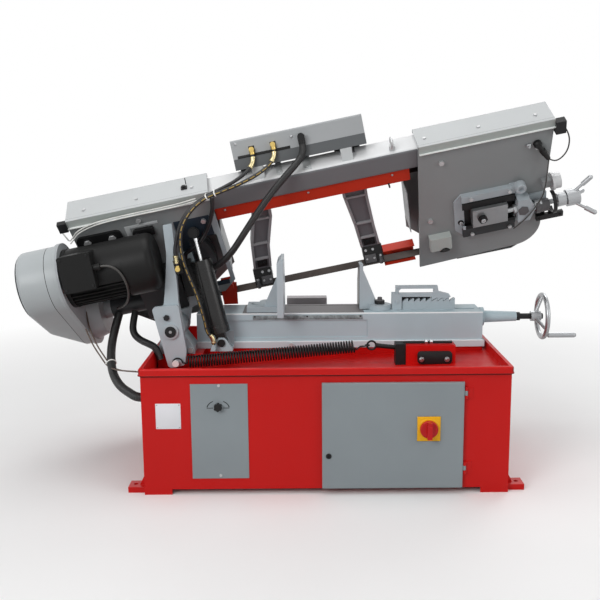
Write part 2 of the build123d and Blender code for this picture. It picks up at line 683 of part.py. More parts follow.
GRIP_Y = SCREW_Y + WHEEL_RIM_R * math.cos(math.radians(GRIP_ANGLE))
GRIP_Z = SCREW_Z + WHEEL_RIM_R * math.sin(math.radians(GRIP_ANGLE))


def handwheel():
    band = Circle(WHEEL_RIM_R + WHEEL_TUBE_R) - Circle(WHEEL_RIM_R - WHEEL_TUBE_R)
    rim = Plane(origin=(WHEEL_RIM_X, SCREW_Y, SCREW_Z), z_dir=(1, 0, 0)) * extrude(band, WHEEL_TUBE_R, both=True)
    rim = fillet(rim.edges(), WHEEL_TUBE_R - 0.5)
    wheel = bar((WHEEL_HUB_X[0], SCREW_Y, SCREW_Z), (WHEEL_HUB_X[1], SCREW_Y, SCREW_Z), WHEEL_HUB_R)
    for turn in (90, 210, 330):
        y, z = math.cos(math.radians(turn)), math.sin(math.radians(turn))
        start = (WHEEL_HUB_X[1] - 18, SCREW_Y + y * 14, SCREW_Z + z * 14)
        end = (WHEEL_RIM_X, SCREW_Y + y * WHEEL_RIM_R, SCREW_Z + z * WHEEL_RIM_R)
        wheel += bar(start, end, 6.5)
    wheel -= bar((WHEEL_HUB_X[0], SCREW_Y, SCREW_Z), (WHEEL_HUB_X[1], SCREW_Y, SCREW_Z), SCREW_R)
    wheel += rim + bar((WHEEL_RIM_X, GRIP_Y, GRIP_Z), (GRIP_END, GRIP_Y, GRIP_Z), GRIP_PIN_R)
    return wheel + bar((GRIP_END - 3, GRIP_Y, GRIP_Z), (GRIP_END, GRIP_Y, GRIP_Z), GRIP_PIN_R + 2)


def handle_grip():
    start = WHEEL_RIM_X + WHEEL_TUBE_R + 1
    end = GRIP_END - 3 - GAP
    grip = bar((start, GRIP_Y, GRIP_Z), (end, GRIP_Y, GRIP_Z), GRIP_R)
    grip = fillet(grip.edges(), 3)
    return grip - bar((start, GRIP_Y, GRIP_Z), (end, GRIP_Y, GRIP_Z), GRIP_PIN_R + RUNNING)


# Pivot
def pivot_pedestal():
    near, far = PEDESTAL_Y
    foot = [(PIVOT_X - 55, PLINTH_TOP), (BED_LEFT, PLINTH_TOP), (BED_LEFT, PLINTH_TOP + BED_FLANGE_HIGH),
            (PIVOT_X + 38, PIVOT_Z - 20), (PIVOT_X + 38, PIVOT_Z), (PIVOT_X - 38, PIVOT_Z),
            (PIVOT_X - 38, PIVOT_Z - 20), (PIVOT_X - 55, PLINTH_TOP + BED_FLANGE_HIGH)]
    body = upright(foot, near, far)
    body += bar((PIVOT_X, near, PIVOT_Z), (PIVOT_X, far, PIVOT_Z), HUB_R - 2)
    return body - bar((PIVOT_X, near, PIVOT_Z), (PIVOT_X, far, PIVOT_Z), PIVOT_R)


def pivot_shaft():
    shaft = bar((PIVOT_X, LEVER_Y[0] - 12, PIVOT_Z), (PIVOT_X, LUG_Y[1] + 12, PIVOT_Z), PIVOT_R)
    shaft += bar((PIVOT_X, LEVER_Y[0] - 8, PIVOT_Z), (PIVOT_X, LEVER_Y[0] - GAP, PIVOT_Z), PIVOT_R + 7)
    return shaft + bar((PIVOT_X, LUG_Y[1] + GAP, PIVOT_Z), (PIVOT_X, LUG_Y[1] + 8, PIVOT_Z), PIVOT_R + 7)


def beyond_plate():
    """Everything on the wheel side of the arm plates' outer face."""
    return SAW * block((-400, 1500), (-300, 900), (-500, PLATE_W[1]))


def pivot_bore(near, far):
    return bar((0, near, 0), (0, far, 0), PIVOT_R + RUNNING)


def swing_bracket():
    near, far = CHEEK_Y
    side = [(-45, -6), (-45, 60), (-5, 100), (8, 140), (26, 200), (44, 268), (56, 372), (88, 372), (76, 262),
            (74, 242), (88, 242), (88, 194), (62, 194), (54, 135), (47, 95), (46, -6)]
    body = upright(side, near, far) + bar((0, near, 0), (0, far, 0), HUB_R)
    body += block((57, 80), (far, 60), (296, 370))
    body -= pivot_bore(near, far)
    return LEVEL * body - beyond_plate()


def far_lug():
    near, far = LUG_Y
    side = [(-46, -6), (-40, 40), (56, 48), (64, 70), (64, 330), (112, 330), (112, 60), (62, 44), (46, -6)]
    body = upright(side, near, far) + bar((0, near, 0), (0, far, 0), HUB_R)
    body -= pivot_bore(near, far)
    return LEVEL * body - beyond_plate()


def spring_lever():
    near, far = LEVER_Y
    side = [(-48, 99), (48, 88), (38, -80), (22, -130), (-38, -130)]
    body = upright(side, near, far, 14) - pivot_bore(near, far)
    body -= bar((LEVER_BOLT[0], near, LEVER_BOLT[1]), (LEVER_BOLT[0], far, LEVER_BOLT[1]), LEVER_BOLT_R)
    return LEVEL * body


def spring_pin():
    u, z = LEVER_BOLT
    start = SPRING_Y - WIRE_R - 4
    pin = bar((u, start, z), (u, LEVER_Y[1], z), LEVER_BOLT_R)
    return LEVEL * (pin + bar((u, start - 7, z), (u, start, z), LEVER_BOLT_R + 5))


def valve_block():
    body = block((62, 112), (LUG_Y[0] - VALVE_Y, LUG_Y[0]), (92, 200))
    body += block((70, 104), (LUG_Y[0] - VALVE_Y + 6, LUG_Y[0] - 4), (200, 228))
    return LEVEL * body


# Feed cylinder
def eye_spot():
    u, z = ROD_EYE
    spot = LEVEL * Pos(u, CYL_Y, z)
    return spot.position.X, spot.position.Z


EYE_WORLD = eye_spot()
CYL_DX = EYE_WORLD[0] - CYL_FOOT[0]
CYL_DZ = EYE_WORLD[1] - CYL_FOOT[1]
CYL_REACH = math.hypot(CYL_DX, CYL_DZ)
CYL_PLANE = Plane(origin=(CYL_FOOT[0], CYL_Y, CYL_FOOT[1]), x_dir=(0, 1, 0),
                  z_dir=(CYL_DX, 0, CYL_DZ))


def along_cylinder(low, high, radius):
    return Pos(0, 0, low) * Cylinder(radius, high - low, align=(Align.CENTER, Align.CENTER, Align.MIN))


def feed_cylinder():
    body = along_cylinder(CYL_START, CYL_LENGTH, CYL_R)
    body += Rot(0, 90, 0) * Cylinder(20, 37)
    body += block((-18.5, 18.5), (-18, 18), (0, CYL_START + 2))
    for low, high in ((CYL_START, CYL_START + 26), (CYL_LENGTH - 30, CYL_LENGTH)):
        body += along_cylinder(low, high, CYL_R + 0.8)
    body -= along_cylinder(CYL_START + 16, CYL_LENGTH - 16, CYL_BORE_R)
    body -= along_cylinder(CYL_LENGTH - 16, CYL_LENGTH, ROD_R + RUNNING)
    body -= Rot(0, 90, 0) * Cylinder(CYL_PIN_R + RUNNING, 37)
    return CYL_PLANE * body


def piston_rod():
    bore = EYE_PIN_R + EYE_PLAY
    rod = along_cylinder(150, CYL_REACH - EYE_NECK, ROD_R)
    rod += along_cylinder(CYL_REACH - EYE_NECK, CYL_REACH - bore - 1, EYE_HALF - 1)
    rod += along_cylinder(150, 170, CYL_BORE_R - GAP)
    eye = Rot(0, 90, 0) * (Cylinder(bore + 6, 2 * EYE_HALF) - Cylinder(bore, 2 * EYE_HALF))
    return CYL_PLANE * (rod + Pos(0, 0, CYL_REACH) * eye)


CLEVIS_X = (CYL_FOOT[0] - 40, CYL_FOOT[0] + 40)
FEED_END = (CYL_FOOT[0] - 26.0, -92.0, 462.0)
CLEVIS_LUGS = ((CYL_Y - 27, CYL_Y - 19), (CYL_Y + 19, CYL_Y + 27))


def cylinder_clevis():
    near = BED_NEAR - BED_FLANGE
    low = CYL_FOOT[1] - 31
    body = block(CLEVIS_X, (near - 8, near), (low, low + 60))
    body += block(CLEVIS_X, (CLEVIS_LUGS[0][0], near - 8), (low, low + 8))
    for lug in CLEVIS_LUGS:
        body += upright([(CLEVIS_X[0], low + 8), (CLEVIS_X[1], low + 8), (CYL_FOOT[0] + 19, CYL_FOOT[1] + 10),
                         (CYL_FOOT[0] + 10, CYL_FOOT[1] + 19), (CYL_FOOT[0] - 10, CYL_FOOT[1] + 19),
                         (CYL_FOOT[0] - 19, CYL_FOOT[1] + 10)], lug[0], lug[1])
        body -= bar((CYL_FOOT[0], lug[0], CYL_FOOT[1]), (CYL_FOOT[0], lug[1], CYL_FOOT[1]), CYL_PIN_R)
    x, y, z = FEED_END
    body += bar((x, CLEVIS_LUGS[0][0], z - 14), (x, y - 8, z - 14), 8)
    return body + bar((x, y, z - 14), (x, y, z), 8)


def cylinder_pin():
    start, end = CLEVIS_LUGS[0][0], CLEVIS_LUGS[1][1]
    pin = bar((CYL_FOOT[0], start - 5, CYL_FOOT[1]), (CYL_FOOT[0], end, CYL_FOOT[1]), CYL_PIN_R)
    return pin + bar((CYL_FOOT[0], start - 5, CYL_FOOT[1]), (CYL_FOOT[0], start, CYL_FOOT[1]), CYL_PIN_R + 4)


def rod_pin():
    u, z = ROD_EYE
    near = CYL_Y - EYE_HALF - GAP
    far = CYL_Y + EYE_HALF + GAP
    body = bar((u, near - 6, z), (u, far, z), EYE_PIN_R) + bar((u, near - 6, z), (u, near, z), EYE_PIN_R + 8)
    body += bar((u, far, z), (u, 60, z), 17)
    return LEVEL * body - beyond_plate()


# Counter spring and its anchor
def biarc(start, leave, end, arrive):
    """Two tangent arcs between two points with given directions."""
    chord = end - start
    both = leave + arrive
    lack = 2 * (1 - leave.dot(arrive))
    lean = chord.dot(both)
    reach = (math.sqrt(lean * lean + lack * chord.dot(chord)) - lean) / lack
    first = start + leave * reach
    second = end - arrive * reach
    middle = (first + second) * 0.5
    turn = (second - first).normalized()
    return [TangentArc(start, middle, tangent=leave), TangentArc(middle, end, tangent=turn)]


def spring_pose():
    hook = LEVEL * Pos(LEVER_BOLT[0], SPRING_Y, LEVER_BOLT[1])
    return Vector(*hook.position), Vector(EYE_X - RING_R, SPRING_Y, EYE_Z)


def counter_spring():
    low, high = spring_pose()
    along = (high - low).normalized()
    span = (high - low).length
    frame = Plane(origin=low, x_dir=(0, -1, 0), z_dir=along)
    side, up = frame.x_dir, frame.y_dir
    loop_r = LEVER_BOLT_R + WIRE_R + 2.0
    hook_r = RING_WIRE_R + WIRE_R + 1.0
    first, last = loop_r + 26.0, span - 46.0
    pitch = (last - first) / SPRING_TURNS

    def coil(turn):
        angle = 2 * math.pi * turn
        out = side * math.cos(angle) + up * math.sin(angle)
        over = up * math.cos(angle) - side * math.sin(angle)
        spot = low + along * (first + pitch * turn) + out * SPRING_R
        return spot, (along * (pitch / (2 * math.pi)) + over * SPRING_R).normalized()

    edges = []
    tail = low - along * (loop_r * 0.2) - up * (loop_r * 0.98)
    round_end = [(low - along * loop_r, up), (low + up * loop_r, along)]
    here, facing = tail, (along * -0.98 + up * 0.2).normalized()
    for spot, ahead in round_end:
        edges += biarc(here, facing, spot, ahead)
        here, facing = spot, ahead
    for quarter in range(4 * SPRING_TURNS + 1):
        spot, ahead = coil(quarter / 4)
        edges += biarc(here, facing, spot, ahead)
        here, facing = spot, ahead
    leave = high - along * 24 + side * hook_r
    edges += biarc(here, facing, leave, along)
    edges.append(Line(leave, high + side * hook_r))
    edges += biarc(high + side * hook_r, along, high - side * hook_r, along * -1)
    edges.append(Line(high - side * hook_r, high - side * hook_r - along * 8))
    path = Wire(edges)
    solid = sweep(Plane(origin=tail, z_dir=edges[0] % 0) * Circle(WIRE_R), path=path)
    print("spring turns", SPRING_TURNS, "pitch", round(pitch, 2), "least gap", round(least_gap(edges), 2),
          "volume ratio", round(solid.volume / (math.pi * WIRE_R**2 * path.length), 3))
    return solid


def least_gap(edges):
    """Least distance between wire surfaces that are not neighbours along the wire."""
    spots = [edge @ (step / 6) for edge in edges for step in range(6)]
    reach = int(2 * math.pi * SPRING_R / 2 / (edges[12].length / 6))
    best = 1e9
    for i, one in enumerate(spots):
        for two in spots[i + reach:i + 6 * reach]:
            best = min(best, (one - two).length)
    return best - 2 * WIRE_R


def eye_bolt():
    ring = Plane(origin=(EYE_X, SPRING_Y, EYE_Z), z_dir=(0, 1, 0)) * Torus(RING_R, RING_WIRE_R)
    ring += tilted_rod(EYE_X + RING_R, ANCHOR_X[0] + 30, EYE_ROD_R)
    ring -= bar((EYE_X, SPRING_Y - 10, EYE_Z), (EYE_X, SPRING_Y + 10, EYE_Z), RING_R - RING_WIRE_R)
    left, right = ANCHOR_X[0] - 36, ANCHOR_X[0]
    top = ANCHOR_TOP + 4
    side = [(left, floor_height(left)), (right, floor_height(right)), (right, top), (left, top)]
    return ring + upright(side, ANCHOR_Y[0] + 4, ANCHOR_Y[1] - 4)


def tilted_rod(start, end, radius):
    drop = 14 / (ANCHOR_X[0] - EYE_X)
    mid = EYE_X + RING_R
    first = (start, SPRING_Y, EYE_Z - drop * (start - mid))
    return bar(first, (end, SPRING_Y, EYE_Z - drop * (end - mid)), radius)


def spring_anchor():
    left, right = ANCHOR_X
    wall = ANCHOR_WALL

    def side(less, low):
        return [(left + less, floor_height(left) - low), (right - less, floor_height(right) - low),
                (right - less, ANCHOR_TOP - less), (left + less, ANCHOR_TOP - less)]

    body = upright(side(0, 0), *ANCHOR_Y)
    body -= upright(side(wall, 9), ANCHOR_Y[0] + wall, ANCHOR_Y[1])
    return body - tilted_rod(left - 1, left + wall + 1, EYE_ROD_R + GAP)


# Arm plates, covers and beam
def wheel_hole(u, radius):
    return bar((u, WHEEL_V, PLATE_W[0]), (u, WHEEL_V, PLATE_W[1]), radius)


def drive_plate():
    left, right = DRIVE_END_U
    side = [(left, 60), (right - 50, 60), (right, 110), (right, PLATE_TOP), (left, PLATE_TOP)]
    plate = slab(side, PLATE_W[0], PLATE_W[1]) - wheel_hole(DRIVE_U, SHAFT_R + 4)
    return SAW * (plate - block(WINDOW_U, WINDOW_V, PLATE_W))


IDLER_CORNER_R = 100.0


def idler_plate():
    left, right = IDLER_END_U
    corner = (1410, -6.5)
    side = [(left, -25), corner, (1438, 316), (right, PLATE_TOP), (left + 33, PLATE_TOP)]
    plate = slab(side, PLATE_W[0], PLATE_W[1])
    plate = fillet(plate.edges().filter_by(Axis.Z).sort_by_distance((*corner, PLATE_W[0]))[0], IDLER_CORNER_R)
    reach = AXLE_R + 4
    plate -= wheel_hole(IDLER_U, reach) + wheel_hole(IDLER_U - TENSION_TRAVEL, reach)
    plate -= block((IDLER_U - TENSION_TRAVEL, IDLER_U), (WHEEL_V - reach, WHEEL_V + reach), PLATE_W)
    return SAW * (plate + stop_block())


def top_cover(left, right, closed, hinges):
    """Channel over the plate's top edge with an outturned lip and the fixed hinge knuckles."""
    far = -BEAM_HALF - SHEET
    near = PLATE_W[1] + SHEET
    body = block((left, right), (COVER_TOP - SHEET, COVER_TOP), (far, near))
    body += block((left, right), (COVER_LIP, COVER_TOP), (PLATE_W[1], near))
    body += block((left, right), (COVER_LIP, COVER_LIP + SHEET), (near, near + 7))
    body += block((left, right), (BEAM_V[1] + 2, COVER_TOP), (far, far + SHEET))
    body += block((closed, closed + SHEET), (BEAM_V[1] + 2, COVER_TOP), (far, PLATE_W[0] - GAP))
    v, w = COVER_HINGE_V, COVER_HINGE_W
    for low, high in hinges:
        body += bar((low - HINGE_LEAF, v, w), (high + HINGE_LEAF, v, w), COVER_PIN_R)
        for start, end in ((low - HINGE_LEAF, low - GAP), (high + GAP, high + HINGE_LEAF)):
            body += bar((start, v, w), (end, v, w), COVER_HINGE_R)
            body += block((start, end), (v, BEAM_V[1] + 2 + SHEET), (w - SHEET / 2, w + SHEET / 2))
            body += block((start, end), (BEAM_V[1] + 2, BEAM_V[1] + 2 + SHEET), (w, far + SHEET))
    return SAW * body


def inset(points, by):
    """Convex outline moved inwards."""
    mid_u = sum(p[0] for p in points) / len(points)
    mid_v = sum(p[1] for p in points) / len(points)
    lines = []
    for a, b in zip(points, points[1:] + points[:1]):
        du, dv = b[0] - a[0], b[1] - a[1]
        size = math.hypot(du, dv)
        nu, nv = -dv / size, du / size
        if nu * (mid_u - a[0]) + nv * (mid_v - a[1]) < 0:
            nu, nv = -nu, -nv
        lines.append((nu, nv, nu * a[0] + nv * a[1] + by))
    corners = []
    for one, two in zip(lines[-1:] + lines[:-1], lines):
        det = one[0] * two[1] - one[1] * two[0]
        corners.append(((one[2] * two[1] - one[1] * two[2]) / det, (one[0] * two[2] - one[2] * two[0]) / det))
    return corners


def front_cover(side, mouth, hinges):
    """Pan over a wheel: its rim is open at the top and at the mouth where the blade runs."""
    depth = (FRONT_W + SHEET, FRONT_RIM_W)
    rim = slab(side, *depth) - slab(inset(side, SHEET), *depth)
    left = min(u for u, v in side) - 1
    right = max(u for u, v in side) + 1
    rim -= block((left, right), (COVER_RIM_V, COVER_HINGE_V), depth)
    rim -= block(mouth, (FRONT_LOW - 1, MOUTH_V), depth)
    body = slab(side, FRONT_W, FRONT_W + SHEET) + rim
    v, w = COVER_HINGE_V, COVER_HINGE_W
    for low, high in hinges:
        body += block((low, high), (COVER_EDGE_V - SHEET, v), (FRONT_W, FRONT_W + SHEET))
        body += bar((low, v, w), (high, v, w), COVER_HINGE_R)
        body -= bar((low, v, w), (high, v, w), COVER_PIN_R + RUNNING)
    return SAW * body


COVER_HINGE_W = FRONT_W - COVER_HINGE_R + SHEET
COVER_EDGE_V = COVER_HINGE_V - COVER_HINGE_R - HINGE_CLEAR
COVER_RIM_V = 340.0
MOUTH_V = 150.0
DRIVE_HINGES = ((-200.0, -150.0), (110.0, 160.0))
IDLER_HINGES = ((1030.0, 1080.0), (1330.0, 1380.0))


def drive_front_cover():
    left, right = DRIVE_END_U
    side = [(left, 110), (left + 150, FRONT_LOW), (right - 150, FRONT_LOW), (right, 90), (right, COVER_EDGE_V),
            (left, COVER_EDGE_V)]
    return front_cover(side, (60, right + 1), DRIVE_HINGES)


def idler_front_cover():
    left, right = IDLER_END_U[0] - 20, IDLER_END_U[1] - 12
    side = [(left, 90), (left + 120, FRONT_LOW), (1310, FRONT_LOW), (1380, 0), (1425, 110), (right, COVER_EDGE_V),
            (left, COVER_EDGE_V)]
    return front_cover(side, (left - 1, left + 170), IDLER_HINGES)


def saw_beam():
    left, right = DRIVE_END_U[1], IDLER_END_U[0] + 33
    body = block((left, right), BEAM_V, (-BEAM_HALF, BEAM_HALF))
    body = fillet(body.edges().filter_by(Axis.X), 10)
    wall = BEAM_WALL
    inside = (BEAM_V[0] + wall, BEAM_V[1] - wall)
    body -= block((left, right), inside, (-BEAM_HALF + wall, BEAM_HALF - wall))
    far = -BEAM_HALF + 4
    for start, end in ((left - 70, left), (right, right + 70)):
        root = block((start, end), BEAM_V, (far, PLATE_W[0]))
        body += root - block((start, end), inside, (far + wall, PLATE_W[0] - wall))
    return SAW * body


def return_guard():
    left, right = DRIVE_END_U[1], IDLER_END_U[0]
    body = block((left, right), (STRIP_V, BEAM_V[0]), (BEAM_HALF - 12, BEAM_HALF - 12 + SHEET))
    body += block((left, right), (BEAM_V[0] - SHEET, BEAM_V[0]), (BEAM_HALF - 30, BEAM_HALF - 12))
    return SAW * body


def drive_guard():
    face = slab([(168, 74), (232, 60), (212, -56), (158, -44)], 24, 24 + SHEET)
    face += block((170, 222), (56, 59), (-16, 26))
    face += block((174, 218), (50, 80), (24, PLATE_W[0]))
    return SAW * face


def idler_guard():
    left, right = HEAD_RIGHT_U[1], 938
    body = block((left, right), (-20, 55), (-20, -20 + SHEET))
    for v in (-20, 55 - SHEET):
        body += block((left, right), (v, v + SHEET), (-20 + SHEET, 20))
    return SAW * body


# Blade guides
def guide_arm(side, play):
    """Guide arm below the beam's far side, cut level above its head."""
    body = slab(side, GUIDE_W[0], GUIDE_W[1])
    left = side[0][0]
    right = side[1][0]
    body += block((left, right), (BEAM_V[0] - 30, BEAM_V[1] - 8), (-BEAM_HALF - 24, -BEAM_HALF - play))
    body = SAW * body
    return body - LEVEL * block((0, 1200), (0, 500), (-300, HEAD_TOP - PIVOT_Z))


def left_guide_arm():
    side = [(356, 438), (428, 438), (428, 315), (392, 180), (372, 20), (300, 20), (320, 190), (356, 330)]
    return guide_arm(side, 0.0)


def right_guide_arm():
    side = [(698, 438), (790, 438), (790, 322), (800, 165), (815, 20), (738, 20), (721, 190), (698, 335)]
    return guide_arm(side, GAP)


def guide_head(u):
    low, high = HEAD_LOW - PIVOT_Z, HEAD_TOP - PIVOT_Z
    body = block(u, HEAD_Y, (low, high))
    half = BLADE_THICK / 2 + PAD_GAP
    top = BLADE_RISE + BLADE_WIDE / 2 + BACK_GAP
    body -= block(u, (BLADE_Y - half, BLADE_Y + half), (low, top))
    body -= block(u, (BLADE_Y + 18, HEAD_Y[1]), (low, top + 6))
    return LEVEL * body


def blade():
    half = BLADE_WIDE / 2
    inner, outer = WHEEL_R, WHEEL_R + BLADE_THICK

    def half_ring(u, side):
        ring = Cylinder(outer, BLADE_WIDE) - Cylinder(inner, BLADE_WIDE)
        reach = sorted((0.0, side * 2 * outer))
        ring &= block(reach, (-2 * outer, 2 * outer), (-half, half))
        return Pos(u, WHEEL_V, 0) * ring

    def section(u, turn):
        face = Rot(0, 0, turn) * Rectangle(BLADE_THICK, BLADE_WIDE)
        return Plane(origin=(u, -BLADE_THICK / 2, 0), x_dir=(0, 1, 0), z_dir=(1, 0, 0)) * face

    def twisted(start, end, first, last):
        faces = []
        for step in range(TWIST_STEPS + 1):
            part = step / TWIST_STEPS
            faces.append(section(start + (end - start) * part, first + (last - first) * part))
        return loft(faces, ruled=True)

    full = 90 - LEAN
    left, right = HEAD_LEFT_U[0], HEAD_RIGHT_U[1]
    band = half_ring(DRIVE_U, -1) + half_ring(IDLER_U, 1)
    band += block((DRIVE_U, IDLER_U), (2 * WHEEL_R, 2 * WHEEL_R + BLADE_THICK), (-half, half))
    band += twisted(DRIVE_U, left, 0, full)
    band += extrude(section(left, full), right - left, dir=(1, 0, 0))
    flat = IDLER_U - TENSION_TRAVEL
    band += twisted(right, flat, full, 0)
    band += extrude(section(flat, 0), TENSION_TRAVEL, dir=(1, 0, 0))
    return SAW * band


# Wheels and drive train
def band_wheel(u, shift, bore, hub):
    """Spoked band wheel with a flange behind the blade, and its hub from low to high."""
    half = WHEEL_WIDE / 2
    wheel = Cylinder(WHEEL_R - GAP, WHEEL_WIDE) - Cylinder(WHEEL_R - 24, WHEEL_WIDE)
    wheel += Cylinder(WHEEL_R - 20, 12)
    for spot in PolarLocations(118, 6):
        wheel -= spot * Cylinder(32, 20)
    wheel += Pos(0, 0, -half - 3) * (Cylinder(WHEEL_R + 5, 6) - Cylinder(WHEEL_R - 24, 6))
    wheel += bar((0, 0, hub[0]), (0, 0, hub[1]), 48)
    wheel -= Cylinder(bore, 4 * WHEEL_WIDE)
    return SAW * Pos(u, WHEEL_V, shift) * wheel


def drive_wheel():
    return band_wheel(DRIVE_U, 0, SHAFT_R, (-16, 28))


def idler_wheel():
    return band_wheel(IDLER_U, 2, AXLE_R + RUNNING, (-16, 16))


def drive_shaft():
    shaft = bar((DRIVE_U, WHEEL_V, -30), (DRIVE_U, WHEEL_V, GEARBOX_W - GEARBOX_WALL - 2), SHAFT_R)
    shaft += bar((DRIVE_U, WHEEL_V, WORM_W - 13), (DRIVE_U, WHEEL_V, WORM_W + 13), WORM_WHEEL_R)
    return SAW * (shaft + bar((DRIVE_U, WHEEL_V, -30), (DRIVE_U, WHEEL_V, -22), SHAFT_R + 10))


def gearbox():
    body = block(GEARBOX_U, GEARBOX_V, (PLATE_W[1], GEARBOX_W))
    body = fillet(body.edges().filter_by(Axis.X).group_by(Axis.Z)[-1], 12)
    wall = GEARBOX_WALL
    body += worm_housing()
    body += bar((BACK_PLATE_U[1], WORM_V, WORM_W), (GEARBOX_U[0], WORM_V, WORM_W), WORM_TUBE_R)
    body -= bar((BACK_PLATE_U[1], WORM_V, WORM_W), (GEARBOX_U[0] - 30, WORM_V, WORM_W), WORM_TUBE_R - 8)
    body -= block((GEARBOX_U[0] + wall, GEARBOX_U[1] - wall), (GEARBOX_V[0] + wall, GEARBOX_V[1] - wall),
                  (PLATE_W[1] + wall, GEARBOX_W - wall))
    body -= bar((GEARBOX_U[0] - 30, WORM_V, WORM_W), (GEARBOX_U[0] + wall, WORM_V, WORM_W),
                WORM_SHAFT_R + RUNNING)
    body -= bar((DRIVE_U, WHEEL_V, PLATE_W[1]), (DRIVE_U, WHEEL_V, PLATE_W[1] + wall), SHAFT_R + RUNNING)
    return SAW * (body + belt_back_plate())


def worm_housing():
    start = BACK_PLATE_U[1]
    cone = Cone(HOUSING_R[0], HOUSING_R[1], HOUSING_U - start, align=(Align.CENTER, Align.CENTER, Align.MIN))
    body = Plane(origin=(start, WORM_V, WORM_W), z_dir=(1, 0, 0)) * cone
    reach = 2 * HOUSING_R[0]
    return body - block((start, HOUSING_U), (WORM_V - reach, WORM_V + reach), (-reach, PLATE_W[1] + 2))


def worm_shaft():
    end = GEARBOX_U[1] - GEARBOX_WALL - 2
    shaft = bar((PULLEY_U[0] - 8, WORM_V, WORM_W), (end, WORM_V, WORM_W), WORM_SHAFT_R)
    shaft += bar((DRIVE_U - 40, WORM_V, WORM_W), (DRIVE_U + 40, WORM_V, WORM_W), WORM_R)
    shaft += bar((PULLEY_U[0], WORM_V, WORM_W), (PULLEY_U[1], WORM_V, WORM_W), WORM_PULLEY_R)
    return SAW * shaft


def motor_shaft():
    shaft = bar((PULLEY_U[0] - 8, MOTOR_V, MOTOR_W), (BACK_PLATE_U[1] + 20, MOTOR_V, MOTOR_W), MOTOR_SHAFT_R)
    return SAW * (shaft + bar((PULLEY_U[0], MOTOR_V, MOTOR_W), (PULLEY_U[1], MOTOR_V, MOTOR_W), MOTOR_PULLEY_R))


def v_belt():
    motor, worm = (MOTOR_V, MOTOR_W), (WORM_V, WORM_W)
    outer = capsule(motor, MOTOR_PULLEY_R + GAP + BELT_THICK, worm, WORM_PULLEY_R + GAP + BELT_THICK)
    inner = capsule(motor, MOTOR_PULLEY_R + GAP, worm, WORM_PULLEY_R + GAP)
    low, high = PULLEY_U[0] + 4, PULLEY_U[1] - 4
    return SAW * Plane.YZ.location * Pos(0, 0, low) * extrude(outer - inner, high - low)


TOP_SPOT = (MOTOR_V, MOTOR_W)
LOW_SPOT = (WORM_V, WORM_W)


def belt_back_plate():
    face = capsule(TOP_SPOT, HOOD_TOP_R + HOOD_FLANGE, LOW_SPOT, HOOD_LOW_R + HOOD_FLANGE)
    low, high = BACK_PLATE_U
    plate = Plane.YZ.location * Pos(0, 0, low) * extrude(face, high - low)
    plate -= bar((low, MOTOR_V, MOTOR_W), (high, MOTOR_V, MOTOR_W), MOTOR_SHAFT_R + 8)
    return plate - bar((low, WORM_V, WORM_W), (high, WORM_V, WORM_W), WORM_SHAFT_R + 8)


def belt_cover():
    start, end = BACK_PLATE_U[0], COVER_END_U

    def hood(less, close):
        rim = Pos(0, 0, HOOD_SEAM_U) * capsule(TOP_SPOT, HOOD_TOP_R - less, LOW_SPOT, HOOD_LOW_R - less)
        far = Pos(0, 0, close) * capsule(TOP_SPOT, HOOD_TOP_R - less - 0.5, HOOD_END_LOW, HOOD_END_R - less)
        return extrude(rim, start - HOOD_SEAM_U) + loft([rim, far], ruled=True)

    outer = hood(0, end)
    outer = fillet(outer.edges().group_by(Axis.Z)[0], 22)
    shell = outer - hood(COVER_WALL, end + COVER_WALL)
    flange = capsule(TOP_SPOT, HOOD_TOP_R + HOOD_FLANGE, LOW_SPOT, HOOD_LOW_R + HOOD_FLANGE)
    flange -= capsule(TOP_SPOT, HOOD_TOP_R - 2, LOW_SPOT, HOOD_LOW_R - 2)
    shell += Pos(0, 0, start - 8) * extrude(flange, 8)
    shell -= hood(COVER_WALL, end + COVER_WALL)
    return SAW * Plane.YZ.location * shell


def motor_body():
    face = Circle(MOTOR_CORE_R)
    smooth = [(0, 0)]
    for turn in (-35, 20, 75):
        smooth.append((3 * MOTOR_R * math.cos(math.radians(turn)), 3 * MOTOR_R * math.sin(math.radians(turn))))
    face += outline(smooth) & Circle(MOTOR_R)
    for turn in MOTOR_FINS:
        face += Rot(0, 0, turn) * Pos(MOTOR_CORE_R + 2, 0) * Rectangle(2 * (MOTOR_R - MOTOR_CORE_R) - 4, 3.2)
    start = BACK_PLATE_U[1]
    body = Pos(0, 0, start + 12) * extrude(face, MOTOR_END_U - start - 12)
    low = (Align.CENTER, Align.CENTER, Align.MIN)
    body += Pos(0, 0, start) * Cylinder(MOTOR_R + 2, 14, align=low)
    body -= Pos(0, 0, start) * Cylinder(MOTOR_SHAFT_R + RUNNING, 22, align=low)
    return SAW * Plane.YZ.location * Pos(MOTOR_V, MOTOR_W, 0) * body + junction_box()


def fan_cover():
    length = FAN_END_U - MOTOR_END_U
    body = Cylinder(MOTOR_R + 1, length, align=(Align.CENTER, Align.CENTER, Align.MIN))
    body = fillet(body.edges().group_by(Axis.Z)[-1], 26)
    inner = Cylinder(MOTOR_R - 1.5, length - 2.5, align=(Align.CENTER, Align.CENTER, Align.MIN))
    body -= fillet(inner.edges().group_by(Axis.Z)[-1], 24)
    return SAW * Plane.YZ.location * Pos(MOTOR_V, MOTOR_W, MOTOR_END_U) * body


def motor_spot():
    """Motor axis in the level arm frame."""
    y = BLADE_Y - MOTOR_V * SIN_LEAN - MOTOR_W * COS_LEAN
    z = BLADE_RISE + MOTOR_V * COS_LEAN - MOTOR_W * SIN_LEAN
    return y, z


def junction_box():
    y, z = motor_spot()
    body = block((-298, -186), (y - MOTOR_R - 36, y - 60), (z - 38, z + 88))
    body = fillet(body.edges().filter_by(Axis.Y), 8)
    body -= bar((-400, y, z), (100, y, z), MOTOR_R - 2)
    gland = bar((-186, y - MOTOR_R - 16, z + 30), (-162, y - MOTOR_R - 16, z + 30), 12)
    return LEVEL * (body + gland)


